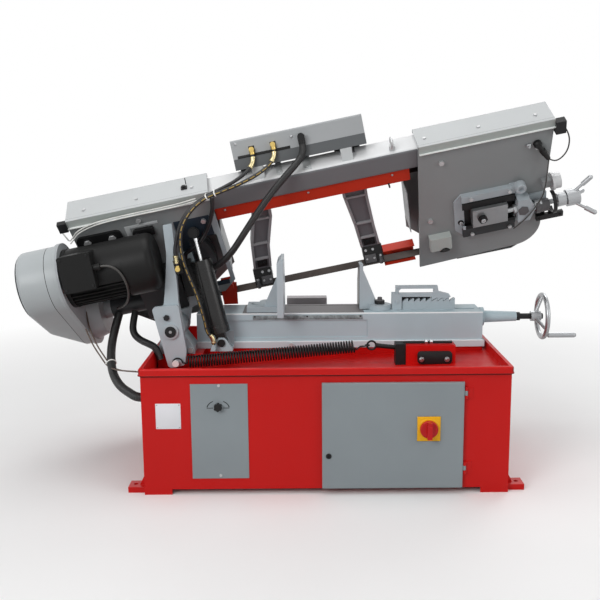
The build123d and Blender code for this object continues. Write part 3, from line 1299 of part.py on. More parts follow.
def motor_bracket():
    low, high = MOTOR_V + BRACKET_RISE[0], MOTOR_V + BRACKET_RISE[1]
    body = block((-268, -104), (low, high), (PLATE_W[1], PLATE_W[1] + 10))
    body = fillet(body.edges().filter_by(Axis.Z), 20)
    for u in (-230, -140):
        body += Plane(origin=(u, (low + high) / 2, PLATE_W[1] + 10), z_dir=(0, 0, 1)) * hexagon(24, 7)
    return SAW * body


# Blade tension unit
def tension_frame():
    low, high = RAIL_V
    body = slab([(RAIL_U[0] + 26, low), (RAIL_U[1], low), (RAIL_U[1], high), (RAIL_U[0] + 26, high),
                 (RAIL_U[0], high - 30), (RAIL_U[0], low + 30)], PLATE_W[1], RAIL_BASE_W)
    edge = SLIDE_HALF + GAP
    for start, end in ((low, TENSION_V - edge), (TENSION_V + edge, high)):
        body += block((RAIL_U[0] + 26, RAIL_U[1]), (start, end), (RAIL_BASE_W, RAIL_TOP_W))
    neck = SLIDE_NECK + GAP
    for start, end in ((TENSION_V - edge - 14, TENSION_V - neck), (TENSION_V + neck, TENSION_V + edge + 14)):
        body += block((RAIL_U[0] + 26, RAIL_U[1]), (start, end), (RAIL_TOP_W, RAIL_TOP_W + 5))
    reach = AXLE_R + 4
    body -= block((IDLER_U - TENSION_TRAVEL - reach, IDLER_U + reach), (WHEEL_V - reach, WHEEL_V + reach),
                  (PLATE_W[1], RAIL_BASE_W))
    return SAW * (body + tension_bracket())


def idler_slide():
    low = RAIL_BASE_W + GAP
    shoulder = RAIL_TOP_W - GAP
    body = block(SLIDE_U, (TENSION_V - SLIDE_HALF, TENSION_V + SLIDE_HALF), (low, shoulder))
    body += block(SLIDE_U, (TENSION_V - SLIDE_NECK, TENSION_V + SLIDE_NECK), (shoulder, SLIDE_TOP_W))
    body += bar((IDLER_U, WHEEL_V, -26), (IDLER_U, WHEEL_V, low), AXLE_R)
    body += bar((IDLER_U, WHEEL_V, -26), (IDLER_U, WHEEL_V, -26 + 8), AXLE_R + 9)
    body += bar((IDLER_U, WHEEL_V, 22), (IDLER_U, WHEEL_V, 30), AXLE_R + 9)
    body += Plane(origin=(IDLER_U, WHEEL_V, SLIDE_TOP_W), z_dir=(0, 0, 1)) * hexagon(30, 14)
    body -= bar((SLIDE_U[0] + 75, TENSION_V, TENSION_W), (SLIDE_U[1], TENSION_V, TENSION_W), TENSION_R + RUNNING)
    return SAW * body


def tension_bracket():
    left, right = BRACKET_U
    hexagon = [(left, 150), (right - 22, 150), (right, 200), (right - 22, 250), (left, 250)]
    body = slab(hexagon, PLATE_W[1], SLIDE_TOP_W + 8)
    body += block((left - 20, left + 28), (250, 300), (PLATE_W[1], PLATE_W[1] + 14))
    body += block((right - 22, right + 52), (168, 232), (PLATE_W[1], PLATE_W[1] + 8))
    start, end = (BRACKET_U[0], TENSION_V, TENSION_W), (BRACKET_U[1], TENSION_V, TENSION_W)
    return body - bar(start, end, TENSION_R + RUNNING)


def tension_handle():
    v, w = TENSION_V, TENSION_W
    body = bar((SLIDE_U[0] + 92, v, w), (STAR_U[0] + 5, v, w), TENSION_R)
    for low, high in ((BRACKET_U[0] - 12, BRACKET_U[0] - GAP), (BRACKET_U[1] + GAP, BRACKET_U[1] + 26)):
        body += bar((low, v, w), (high, v, w), TENSION_R + 7)
    for low, high, radius in zip(STAR_U, STAR_U[1:], STAR_R):
        body += chamfer(bar((low, v, w), (high, v, w), radius).edges().group_by(Axis.X)[-1], 3)
    for turn in (90, 210, 330):
        dv, dw = math.sin(math.radians(turn)), math.cos(math.radians(turn))

        def spot(part):
            reach = 20 + (STAR_REACH - 20) * part
            return STAR_U[1] + 24 + STAR_TILT * part, v + reach * dv, w + reach * dw

        body += bar(spot(0), spot(1), 5.5) + bar(spot(0.55), spot(1), 9) + Pos(*spot(1)) * Sphere(9)
    return SAW * body


def tension_gauge():
    v, w = GAUGE_V, PLATE_W[1] + 14
    body = bar((1446, v, w), (1456, v, w), 33) + bar((1456, v, w), (1478, v, w), 29)
    return SAW * (body + block((1412, 1446), (v - 14, v + 14), (PLATE_W[1], w + 14)))


STOP_V = (70.0, 130.0)
STOP_U = (988.0, 1070.0)
STOP_DEEP = 33.0
STOP_FOOT = (1040.0, 140.0)
STOP_LOW = 564.5


def stop_block():
    body = block(STOP_U, STOP_V, (PLATE_W[1], PLATE_W[1] + STOP_DEEP))
    return chamfer(body.edges().filter_by(Axis.Y).group_by(Axis.Z)[-1], 5)


def stop_screw():
    u, y = STOP_FOOT
    low = STOP_LOW - PIVOT_Z
    body = bar((u, y, low + 12), (u, y, low + 90), 9) + bar((u, y, low), (u, y, low + 12), 14)
    return LEVEL * body - beyond_plate() - SAW * block(STOP_U, STOP_V, (PLATE_W[1], PLATE_W[1] + STOP_DEEP))


def limit_switches():
    left = block((DRIVE_END_U[0] - 31, DRIVE_END_U[0]), (500, 538), (PLATE_W[0], PLATE_W[1] + 12))
    right = block((IDLER_END_U[1], IDLER_END_U[1] + 35), (482, 532), (PLATE_W[0] - 4, PLATE_W[1] + 16))
    return [SAW * left, SAW * right]


def lifting_eye():
    u = 895.0
    ring = Plane(origin=(u, BEAM_V[1] + 30, 20), z_dir=(1, 0, 0)) * Torus(15, 5)
    return SAW * (ring + bar((u, BEAM_V[1], 20), (u, BEAM_V[1] + 18, 20), 11))


# Control box
def control_box():
    body = block(BOX_U, BOX_Y, BOX_Z)
    body = fillet(body.edges().filter_by(Axis.X).group_by(Axis.Z)[-1], 6)
    body -= block((BOX_U[0] + SHEET, BOX_U[1] - SHEET), (BOX_Y[0] + SHEET, BOX_Y[1] - SHEET),
                  (BOX_Z[0], BOX_Z[1] - SHEET))
    for u in (ESTOP_U, START_U, FLOW_U):
        body -= bar((u, BOX_Y[1] - SHEET, BUTTON_Z), (u, BOX_Y[1], BUTTON_Z), BUTTON_STEM_R + RUNNING)
    body = LEVEL * body
    for support in box_supports():
        body += support
    return body


def box_supports():
    supports = []
    for u in ((400, 440), (716, 756)):
        low = BOX_Z[0]
        wedge = crosswise([(BOX_Y[0], low), (BOX_Y[0], low - 90), (20, low - 90), (20, low)], u[0], u[1])
        below = LEVEL.inverse() * SAW * block((200, 900), (0, BEAM_V[1]), (-300, 300))
        supports.append(LEVEL * (wedge - below))
    return supports


def push_button(u, cap_r, travel):
    face = BOX_Y[1]
    body = bar((u, face + travel + 1, BUTTON_Z), (u, face + travel + 14, BUTTON_Z), cap_r)
    body = fillet(body.edges().group_by(Axis.Y)[-1], 4)
    body += bar((u, face - SHEET - 2, BUTTON_Z), (u, face + travel + 1, BUTTON_Z), BUTTON_STEM_R)
    body += bar((u, face - SHEET - 4, BUTTON_Z), (u, face - SHEET - 1, BUTTON_Z), BUTTON_STEM_R + 3)
    return LEVEL * body


def hose_fittings():
    fittings = []
    ends = ((HOSE_NEAR[0], FITTING_R, 18.0, BOX_Y[0]), (HOSE_FAR[0], FITTING_R, 18.0, BOX_Y[0]),
            (BEAM_CONDUIT[0], GLAND_R, 25.0, BOX_Y[0]), (HOSE_NEAR[-1], FITTING_R, -12.0, CHEEK_Y[0]))
    for (u, y, z), radius, rise, wall in ends:
        elbow = bar((u, wall, z + rise), (u, y - radius, z + rise), radius)
        fittings.append(LEVEL * (elbow + bar((u, y, z), (u, y, z + rise), radius)))
    return Compound(fittings + [valve_block()])


FITTING_R = 9.0
GLAND_R = 12.5

# Hose and cable routes: arm routes are in the level arm frame, the others in the base frame
HOSE_NEAR = [(414, -84, 547), (414, -84, 526), (392, -100, 498), (344, -118, 472), (290, -126, 456),
             (232, -128, 442), (172, -128, 416), (124, -126, 374), (94, -122, 318),
             (74, -119, 268), (74, -119, 224)]
HOSE_FAR = [(490, -84, 549), (490, -84, 528), (464, -106, 498), (412, -130, 474), (354, -144, 458),
            (290, -146, 446), (224, -146, 436), (166, -144, 404), (122, -142, 354), (104, -138, 296),
            (100, -130, 236), (106, -116, 176), (116, -106, 116), (120, -102, 58), (122, -98, 6), (120, -94, -40)]
BEAM_CONDUIT = [(591, -87.5, 548), (591, -87.5, 520), (562, -110, 488), (506, -118, 448), (444, -118, 398),
                (384, -116, 342), (326, -108, 284), (276, -88, 234), (240, -50, 206), (206, -6, 186),
                (158, 13, 168), (112, 13, 168)]
MOTOR_CABLE = [(-162, -228, 285.6), (-138, -228, 285.6), (-106, -226, 262), (-92, -214, 214), (-100, -180, 168),
               (-128, -130, 130), (-170, -76, 112), (-196, -18, 104), (-206, 39, 100)]
SUPPLY_ENTRY = (-CAB_X, -290.0, 325.0)
SUPPLY = [(-763, 38, 552), (-770, 10, 516), (-776, -42, 463), (-768, -104, 422), (-750, -170, 381),
          (-713, -230, 349), (-666, -272, 333), (-640, -290, 325), (-610, -290, 325)]
COOLANT = [(-702, 40, 560), (-708, 8, 518), (-698, -28, 490), (-668, -62, 474), (-632, -92, 467),
           (-598, -112, 455), (-588, -118, 415)]


def crossing_hoses():
    x, y, z = FEED_END
    feed = on_arm(HOSE_FAR) + [(x, y, z + 26), (x, y, z)]
    return Compound([tube(feed, HOSE_R, "feed_hose"), tube(SUPPLY, SUPPLY_R, "supply_conduit"),
                     tube(COOLANT, COOLANT_R, "coolant_hose")])


def arm_cables():
    return Compound([tube(on_arm(HOSE_NEAR), HOSE_R, "arm_hose"),
                     tube(on_arm(BEAM_CONDUIT), CONDUIT_R, "beam_conduit"),
                     tube(on_arm(MOTOR_CABLE), CABLE_R, "motor_cable")])


def arm_fasteners():
    heads = []
    for u in (1010, 1200, 1400, -210, -20, 180):
        heads.append(SAW * bolt_head((u, COVER_TOP, 20), (0, 1, 0), 11, 5))
    for u, v in ((1055, 455), (-30, 480), (190, 420), (1000, 200), (1395, 440)):
        heads.append(SAW * bolt_head((u, v, PLATE_W[1]), (0, 0, 1), 17, 9))
    for u, v in ((RAIL_U[1] - 20, 116), (RAIL_U[1] - 20, 284), (RAIL_U[0] + 60, 116), (RAIL_U[0] + 60, 284)):
        heads.append(SAW * bolt_head((u, v, RAIL_TOP_W), (0, 0, 1), 13, 8))
    heads.append(LEVEL * bolt_head((-3, LEVER_Y[0], 52), (0, -1, 0), 19, 10))
    heads += limit_switches()
    heads += [spring_pin(), rod_pin(), stop_screw(), lifting_eye(), motor_bracket(), tension_gauge()]
    return Compound(heads)


def base_fasteners():
    heads = []
    middle = (PANEL_LEFT + PANEL_RIGHT) / 2
    for z in (PANEL_LOW + 11, PANEL_HIGH - 5):
        heads.append(bolt_head((middle, -CAB_Y - PANEL_THICK, z), (0, -1, 0), 9, 3))
    for x in (330, 440, -120, 100):
        heads.append(bolt_head((x, BED_NEAR - BED_FLANGE, PLINTH_TOP + BED_FLANGE_HIGH / 2), (0, -1, 0), 15, 9))
    heads.append(bolt_head((BED_LEFT - 14, PEDESTAL_Y[0], PLINTH_TOP + 14), (0, -1, 0), 19, 11))
    for x in (ANCHOR_X[0] + 55, ANCHOR_X[0] + 120):
        heads.append(bolt_head((x, ANCHOR_Y[0], 440), (0, -1, 0), 13, 8))
    return Compound(heads + [jaw_pin(), cylinder_pin()])


SHAPES = {
    "cabinet": cabinet(),
    "chip_tray": chip_tray(),
    "access_panel": access_panel(),
    "panel_knob": panel_knob(),
    "electrical_door": electrical_door(),
    "switch_knob": switch_knob(),
    "bed": bed(),
    "fixed_jaw": fixed_jaw(),
    "jaw_carriage": jaw_carriage(),
    "pawl": pawl(),
    "movable_jaw": movable_jaw(),
    "lead_screw": lead_screw(),
    "handwheel": handwheel(),
    "handle_grip": handle_grip(),
    "pivot_pedestal": pivot_pedestal(),
    "pivot_shaft": pivot_shaft(),
    "spring_lever": spring_lever(),
    "feed_cylinder": feed_cylinder(),
    "piston_rod": piston_rod(),
    "cylinder_clevis": cylinder_clevis(),
    "counter_spring": counter_spring(),
    "eye_bolt": eye_bolt(),
    "spring_anchor": spring_anchor(),
    "drive_plate": drive_plate(),
    "idler_plate": idler_plate(),
    "drive_front_cover": drive_front_cover(),
    "idler_front_cover": idler_front_cover(),
    "saw_beam": saw_beam(),
    "idler_guard": idler_guard(),
    "left_guide_arm": left_guide_arm(),
    "right_guide_arm": right_guide_arm(),
    "blade": blade(),
    "drive_wheel": drive_wheel(),
    "drive_shaft": drive_shaft(),
    "idler_wheel": idler_wheel(),
    "idler_slide": idler_slide(),
    "tension_frame": tension_frame(),
    "tension_handle": tension_handle(),
    "gearbox": gearbox(),
    "worm_shaft": worm_shaft(),
    "motor_shaft": motor_shaft(),
    "v_belt": v_belt(),
    "belt_cover": belt_cover(),
    "motor_body": motor_body(),
    "fan_cover": fan_cover(),
    "control_box": control_box(),
    "crossing_hoses": crossing_hoses(),
    "arm_cables": arm_cables(),
    "arm_fasteners": arm_fasteners(),
    "base_fasteners": base_fasteners(),
    "pivot_cheeks": Compound([swing_bracket(), far_lug()]),
    "drive_top_cover": top_cover(DRIVE_END_U[0], DRIVE_END_U[1], DRIVE_END_U[0], DRIVE_HINGES),
    "idler_top_cover": top_cover(IDLER_END_U[0] + 35, IDLER_END_U[1], IDLER_END_U[1] - SHEET, IDLER_HINGES),
    "blade_guards": Compound([return_guard(), drive_guard()]),
    "left_guide_head": guide_head(HEAD_LEFT_U),
    "right_guide_head": guide_head(HEAD_RIGHT_U),
    "stop_button": push_button(ESTOP_U, 20, 5),
    "start_button": push_button(START_U, 13, 4),
    "flow_knob": push_button(FLOW_U, 17, 1),
    "hydraulic_fittings": hose_fittings(),
}

for name, shape in SHAPES.items():
    export_step(shape, "parts/" + name + ".step")
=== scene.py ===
import bmesh
import bpy
import math
from mathutils import Matrix, Vector


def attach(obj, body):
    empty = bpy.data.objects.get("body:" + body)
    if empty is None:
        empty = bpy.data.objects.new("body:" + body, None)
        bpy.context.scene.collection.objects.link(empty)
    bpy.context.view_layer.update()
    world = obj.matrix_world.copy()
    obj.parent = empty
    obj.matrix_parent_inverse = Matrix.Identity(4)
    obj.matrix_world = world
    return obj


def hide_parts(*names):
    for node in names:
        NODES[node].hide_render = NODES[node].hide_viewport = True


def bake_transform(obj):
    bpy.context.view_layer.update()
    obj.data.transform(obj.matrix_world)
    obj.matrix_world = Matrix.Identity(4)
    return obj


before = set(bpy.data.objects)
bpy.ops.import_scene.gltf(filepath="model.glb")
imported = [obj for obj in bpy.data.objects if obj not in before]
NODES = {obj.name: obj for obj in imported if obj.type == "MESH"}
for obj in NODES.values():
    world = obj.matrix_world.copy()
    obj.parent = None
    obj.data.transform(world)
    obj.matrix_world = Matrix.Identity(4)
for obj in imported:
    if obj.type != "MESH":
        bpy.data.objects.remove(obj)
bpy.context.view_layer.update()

# Frames: WORLD, LEVEL and SAW turn the part's millimetres into the shared frame's metres
PIVOT = (-545, 0, 519)
LIFT = math.radians(11.3)
LEAN = math.radians(35.0)
BLADE_Y = 250
BLADE_RISE = 48
COS_LEAN, SIN_LEAN = math.cos(LEAN), math.sin(LEAN)
WORLD = Matrix.Scale(0.001, 4)
LEVEL = WORLD @ Matrix.Translation(PIVOT) @ Matrix.Rotation(-LIFT, 4, "Y")
SAW = LEVEL @ Matrix(((1, 0, 0, 0), (0, -SIN_LEAN, -COS_LEAN, BLADE_Y),
                      (0, COS_LEAN, -SIN_LEAN, BLADE_RISE), (0, 0, 0, 1)))

# Outlines given in X and Z and drawn out towards the camera
UPRIGHT = WORLD @ Matrix(((1, 0, 0, 0), (0, 0, -1, 0), (0, 1, 0, 0), (0, 0, 0, 1)))

# Directions: RIGHT in each frame, NEAR and UP in the world and level frames, RISE and OUT in the saw frame
RIGHT = (1, 0, 0)
NEAR = (0, -1, 0)
UP = (0, 0, 1)
RISE = (0, 1, 0)
OUT = (0, 0, 1)

# Camera
CAMERA_AT = (-0.0675, -3.083, 1.1502)
CAMERA_PITCH = math.radians(80.0)
CAMERA_ROLL = math.radians(-0.45)
SENSOR = 36.0
LENS = 51.0
CAMERA_SHIFT = -5 / 600


def set_camera():
    data = bpy.data.cameras.new("camera")
    data.sensor_width = SENSOR
    data.lens = LENS
    data.shift_x = CAMERA_SHIFT
    data.clip_end = 60.0
    camera = bpy.data.objects.new("camera", data)
    bpy.context.scene.collection.objects.link(camera)
    turn = Matrix.Rotation(CAMERA_PITCH, 4, "X") @ Matrix.Rotation(CAMERA_ROLL, 4, "Z")
    camera.matrix_world = Matrix.Translation(CAMERA_AT) @ turn
    bpy.context.scene.camera = camera


# Material nodes
def linear(code):
    """Linear colour of a six digit code."""
    channels = [int(code[i:i + 2], 16) / 255 for i in (0, 2, 4)]
    return [c / 12.92 if c <= 0.04045 else ((c + 0.055) / 1.055) ** 2.4 for c in channels]


def shade(colour, by):
    return [min(1.0, c * by) for c in colour] + [1.0]


class Nodes:
    """Adds and links the nodes of one material."""

    def __init__(self, name):
        self.material = bpy.data.materials.new(name)
        self.material.use_nodes = True
        self.tree = self.material.node_tree
        self.shader = self.tree.nodes["Principled BSDF"]

    def add(self, kind, **settings):
        node = self.tree.nodes.new("ShaderNode" + kind)
        for key, value in settings.items():
            setattr(node, key, value)
        return node

    def put(self, socket, value):
        """Links another node's output to the socket, or sets a plain value on it."""
        if hasattr(value, "is_linked"):
            self.tree.links.new(value, socket)
        else:
            socket.default_value = value

    def set(self, node, **values):
        for key, value in values.items():
            self.put(node.inputs[key.replace("_", " ")], value)
        return node

    def math(self, kind, first, second=0.0, third=0.0):
        node = self.add("Math", operation=kind)
        for socket, value in zip(node.inputs, (first, second, third)):
            self.put(socket, value)
        return node.outputs[0]

    def dot(self, first, second):
        node = self.add("VectorMath", operation="DOT_PRODUCT")
        self.put(node.inputs[0], first)
        self.put(node.inputs[1], second)
        return node.outputs["Value"]

    def noise(self, where, scale, detail=3.0):
        return self.set(self.add("TexNoise"), Vector=where, Scale=scale, Detail=detail).outputs["Fac"]

    def spread(self, value, low, high, start=0.3, end=0.7):
        node = self.add("MapRange")
        self.set(node, Value=value, From_Min=start, From_Max=end, To_Min=low, To_Max=high)
        return node.outputs[0]

    def mix(self, share, first, second):
        node = self.add("Mix", data_type="RGBA")
        for index, value in ((0, share), (6, first), (7, second)):
            self.put(node.inputs[index], value)
        return node.outputs[2]


def inside(nodes, where, place, limits):
    """One inside a box given as low, high pairs along the axes of a frame, zero outside."""
    turn = place.to_3x3().normalized()
    share = None
    for axis, pair in enumerate(limits):
        if pair is None:
            continue
        along = turn.col[axis]
        middle = place.translation.dot(along) + 0.0005 * (pair[0] + pair[1])
        within = nodes.math("COMPARE", nodes.dot(where, along), middle, 0.0005 * (pair[1] - pair[0]))
        share = within if share is None else nodes.math("MULTIPLY", share, within)
    return share


def finish(name, code, rough, metal=0.0, vary=0.06, patch=3.0, grain=700.0, bump=0.05, edge=1.2, edge_wear_and_highlight=1.18,
           shine=0.25, areas=()):
    """Painted or bare metal: uneven tone and gloss, fine grain, softened edges made lighter, partly as wear
    and partly as painted highlight.
    An area is another colour, roughness and metal share inside boxes of the part's frames."""
    nodes = Nodes(name)
    where = nodes.add("TexCoord").outputs["Object"]
    base = linear(code)
    cloud = nodes.spread(nodes.noise(where, patch, 5.0), 0.0, 1.0)
    colour = nodes.mix(cloud, shade(base, 1 - vary), shade(base, 1 + vary))
    gloss = nodes.spread(nodes.noise(where, patch * 9), rough - 0.06, rough + 0.06)
    for other, other_rough, other_metal, boxes in areas:
        share = inside(nodes, where, *boxes[0])
        for place, limits in boxes[1:]:
            share = nodes.math("MAXIMUM", share, inside(nodes, where, place, limits))
        colour = nodes.mix(share, colour, shade(linear(other), 1.0))
        gloss = nodes.set(nodes.add("Mix"), Factor=share, A=gloss, B=other_rough).outputs[0]
        metal = nodes.set(nodes.add("Mix"), Factor=share, A=metal, B=other_metal).outputs[0]
    # Edges are made lighter by a share: partly wear, partly painted highlight
    soft = nodes.set(nodes.add("Bevel", samples=4), Radius=0.001 * edge).outputs[0]
    facing = nodes.dot(soft, nodes.add("NewGeometry").outputs["Normal"])
    worn_and_lit_edges = nodes.spread(facing, 0.8, 0.0, 0.75, 0.99)
    lighter = nodes.set(nodes.add("HueSaturation"), Color=colour, Value=edge_wear_and_highlight).outputs[0]
    colour = nodes.mix(worn_and_lit_edges, colour, lighter)
    rough_skin = nodes.noise(where, grain, 2.0)
    relief = nodes.set(nodes.add("Bump"), Strength=bump, Distance=0.0004, Height=rough_skin, Normal=soft)
    nodes.set(nodes.shader, Base_Color=colour, Roughness=gloss, Metallic=metal, Normal=relief.outputs[0],
              Specular_IOR_Level=shine)
    return nodes.material


# Dashed line on a hose: pitch and lit share along it, place and half width round it
DASH_PITCH, DASH_SHARE = 0.026, 0.72
DASH_TURN, DASH_HALF = 0.43, 0.04


def hose_skin(name, code, rough, ring=0.0, dash=None):
    """Rubber along a tube's own length and turn: ring is a corrugation pitch, dash a dashed line's colour."""
    nodes = Nodes(name)
    spots = nodes.add("TexCoord").outputs
    split = nodes.add("SeparateXYZ")
    nodes.put(split.inputs[0], spots["UV"])
    along, turn = split.outputs[0], split.outputs[1]
    where = spots["Object"]
    base = linear(code)
    colour = nodes.mix(nodes.noise(where, 40.0), shade(base, 0.75), shade(base, 1.3))
    if dash:
        step = nodes.math("FRACT", nodes.math("DIVIDE", along, DASH_PITCH))
        lit = nodes.math("LESS_THAN", step, DASH_SHARE)
        near = nodes.math("COMPARE", turn, DASH_TURN, DASH_HALF)
        colour = nodes.mix(nodes.math("MULTIPLY", lit, near), colour, shade(linear(dash), 1.0))
    if ring:
        wave = nodes.math("SINE", nodes.math("MULTIPLY", along, 2 * math.pi / ring))
        relief = nodes.set(nodes.add("Bump"), Strength=0.6, Distance=0.0012, Height=wave)
    else:
        grain = nodes.noise(where, 900.0)
        relief = nodes.set(nodes.add("Bump"), Strength=0.15, Distance=0.0004, Height=grain)
    gloss = nodes.spread(nodes.noise(where, 60.0), rough - 0.08, rough + 0.08)
    nodes.set(nodes.shader, Base_Color=colour, Roughness=gloss, Normal=relief.outputs[0])
    return nodes.material


# Regions with a colour of their own, some of them painted shade or painted highlight: boxes of a frame and
# its low, high pairs, ANY where it has no limit
ANY = None
# Dark band round the chip tray's rim: partly the seam where tray and cabinet meet, partly painted shade under
# the rim
SEAM_Z = (411.5, 418.2)
TRAY_SEAM_AND_RIM_SHADE = [(WORLD, [ANY, (-362, -350.2), SEAM_Z]), (WORLD, [ANY, (350.2, 362), SEAM_Z]),
             (WORLD, [(-628, -616.4), ANY, SEAM_Z]), (WORLD, [(616.4, 628), ANY, SEAM_Z])]
BED_TOP = [(WORLD, [(-300, 152), (17, 199), (553.5, 556)])]
OUTFEED_LEDGE = [(WORLD, [ANY, (201, 300), ANY])]
OUTFEED_RIM = [(WORLD, [(-140, 30), (269, 335), ANY])]
# Painted highlight along the bed's top front edge and along the flange's top edge
BED_EDGE_HIGHLIGHTS = [(WORLD, [ANY, (11.5, 16.8), (550.6, 556)]), (WORLD, [ANY, (4, 12.0), (447.6, 450)])]
BED_FLANGE = [(WORLD, [ANY, (4, 11.8), (424, 447.6)])]
CHEEK_HOSE_LUG = [(LEVEL, [(61, 92), (-200, -60), (192, 244)])]
# Painted shade on the movable jaw's clamping face, which faces left
JAW_FACE_SHADE = [(WORLD, [(130, 138.2), ANY, (556, 727)])]
CARRIAGE_NUT = [(WORLD, [(180, 250), (50, 110), (575.7, 592)])]
STOP_BLOCK = [(SAW, [(980, 1080), (68, 132), (62.6, 96)])]
# Painted shade: a dark patch on the solid drive plate that stands in for a shadowed opening and the dark
# wheel space behind it
DRIVE_WINDOW_SHADE = [(SAW, [(84, 214), (95, 440), ANY])]
DRIVE_PLATE_EDGE = [(SAW, [(214, 240), (60, 440), ANY])]
COVER_SEAM = [(SAW, [ANY, (538, 545), (52.6, 53.8)])]
# Painted shade on the top covers' upright skirt, darker than the lit top of the same paint
COVER_SKIRT_SHADE = [(SAW, [ANY, (511.6, 538), (64, 65.6)])]
# Painted highlight along the top covers' lower lip
COVER_LIP_HIGHLIGHT = [(SAW, [ANY, (507, 511.5), (65.6, 73)])]
HOOD_JOINT = [(SAW, [(-357.6, -355.4), ANY, ANY])]
# Painted light: the beam's top is near white where light from above falls, and its sides keep the darker grey
BEAM_TOP_LIGHT = [(SAW, [ANY, (520, 530), ANY])]
LOWER_RAIL = [(SAW, [(1112, 1316), (100, 146.5), (70.4, 92)])]
# Painted shade, near black: the upper rail's cap, the base plate between the rails and the rails' inner sides
UPPER_RAIL_CAP_SHADE = [(SAW, [(1112, 1316), (238, 269), (85, 92)])]
RAIL_INSIDE_SHADE = [(SAW, [(1126, 1316), (146, 254), (69, 71)]),
                (SAW, [(1126, 1316), (146.5, 162), (60, 92)]),
                (SAW, [(1126, 1316), (238, 253.5), (60, 92)])]
SLIDE_SIDES = [(SAW, [(1100, 1316), (140, 160.5), (60, 87)]), (SAW, [(1100, 1316), (239.5, 260), (60, 87)])]
SLIDE_HEXAGON = [(SAW, [(1160, 1210), (178, 222), (106.4, 122)])]
ROD_EYE = [(LEVEL, [(118, 174), ANY, (300, 349)])]
# Painted shade, near black, on the guide arms' upper part under the beam
GUIDE_TOP_SHADE = [(SAW, [ANY, (402, 520), ANY])]
WORM_HOUSING = [(SAW, [(-330, -234), ANY, ANY])]
VALVE_BLOCK = [(WORLD, [ANY, (-40, 60), ANY])]
CONDUIT_GLAND = [(LEVEL, [(562, 624), ANY, ANY])]
MOTOR_BRACKET = [(SAW, [(-269, -95), (400, 545), (40, 72.3)])]
LIMIT_SWITCHES = [(SAW, [(-330, -269), (400, 545), (40, 80)]), (SAW, [(1438, 1500), (450, 545), ANY])]
STOP_FOOT = [(LEVEL, [(1000, 1080), (100, 180), (30, 58)])]
LEVER_BOLT_HEAD = [(LEVEL, [(-20, 20), ANY, (30, 80)])]
ROD_PIN = [(LEVEL, [(120, 172), ANY, (295, 347)])]
GAUGE_BLOCK = [(SAW, [(1405, 1446), (262, 298), ANY])]
SPRING_PIN_END = [(LEVEL, [(-24, 10), (-160, -129), (-132, -96)])]
CYLINDER_PIN = [(WORLD, [(-400, -340), (-90, -16), (440, 490)])]
PIVOT_SHAFT_END = [(WORLD, [ANY, (-200, -136.2), ANY])]
# Painted shade on the control box's lower band, which faces down
BOX_LOWER_SHADE = [(LEVEL, [ANY, ANY, (502.8, 541)])]
BOX_SUPPORTS = [(LEVEL, [ANY, ANY, (400, 502.8)])]

# Painted sheet and castings
RED = finish("red_paint", "C6120F", 0.36, patch=2.2, vary=0.05, areas=[("6A0B09", 0.5, 0.0, TRAY_SEAM_AND_RIM_SHADE)])
PANEL = finish("panel_grey", "8D9599", 0.42)
BED = finish("bed_grey", "AEB9BF", 0.42, vary=0.08)
BED_CAST = finish("bed_cast", "B4C6CD", 0.42, vary=0.08,
                  areas=[("6F6C6D", 0.5, 0.0, BED_TOP),
                         ("8A8788", 0.5, 0.0, OUTFEED_LEDGE),
                         ("E6EAEC", 0.35, 0.0, BED_EDGE_HIGHLIGHTS),
                         ("C6D2D7", 0.42, 0.0, BED_FLANGE),
                         ("9A9597", 0.4, 0.2, OUTFEED_RIM)])
CHEEKS = finish("cheek_grey", "AEB9BF", 0.42, vary=0.08, areas=[("1B1C1D", 0.45, 0.0, CHEEK_HOSE_LUG)])
MOVING_JAW = finish("moving_jaw_grey", "AEB9BF", 0.42, vary=0.08, areas=[("343233", 0.4, 0.0, JAW_FACE_SHADE)])
CARRIAGE = finish("carriage_grey", "AEB9BF", 0.42, vary=0.08, areas=[("2B2B2C", 0.4, 0.3, CARRIAGE_NUT)])
ARM = finish("arm_grey", "8C8F90", 0.4)
IDLER_PLATE = finish("idler_plate_grey", "8C8F90", 0.4, areas=[("B3B9B6", 0.4, 0.0, STOP_BLOCK)])
DRIVE_PLATE = finish("drive_plate_grey", "8C8F90", 0.4,
                     areas=[("26313C", 0.5, 0.0, DRIVE_WINDOW_SHADE),
                            ("A6B0B6", 0.4, 0.0, DRIVE_PLATE_EDGE)])
COVER = finish("cover_white", "BEC1C2", 0.38, vary=0.03,
               areas=[("85898A", 0.5, 0.0, COVER_SEAM),
                      ("A9AFAC", 0.42, 0.0, COVER_SKIRT_SHADE),
                      ("F2F5F3", 0.35, 0.0, COVER_LIP_HIGHLIGHT)])
HOOD = finish("belt_cover_grey", "ACB1B3", 0.36, vary=0.04, areas=[("2A2B2C", 0.5, 0.0, HOOD_JOINT)])
BEAM = finish("beam_grey", "747679", 0.36, areas=[("DCDDDE", 0.3, 0.0, BEAM_TOP_LIGHT)])
RAILS = finish("tension_rail_grey", "A9B1B6", 0.4, vary=0.08,
               areas=[("36383A", 0.5, 0.0, LOWER_RAIL),
                      ("161617", 0.5, 0.0, RAIL_INSIDE_SHADE + UPPER_RAIL_CAP_SHADE)])
GEARBOX = finish("gearbox_paint", "3E4042", 0.42, areas=[("A3A7AA", 0.38, 0.0, WORM_HOUSING)])
PIVOT_PAINT = finish("pivot_paint", "AFB6BB", 0.42, vary=0.08, areas=[("1B1B1C", 0.45, 0.0, PIVOT_SHAFT_END)])
BOX_PAINT = finish("control_box_paint", "A4A7A9", 0.4,
                   areas=[("5E6163", 0.42, 0.0, BOX_LOWER_SHADE), ("BFC2C3", 0.4, 0.0, BOX_SUPPORTS)])
GUARD = finish("guard_red", "C2341F", 0.4)
GUIDE = finish("guide_grey", "5A595B", 0.45, edge_wear_and_highlight=1.4)
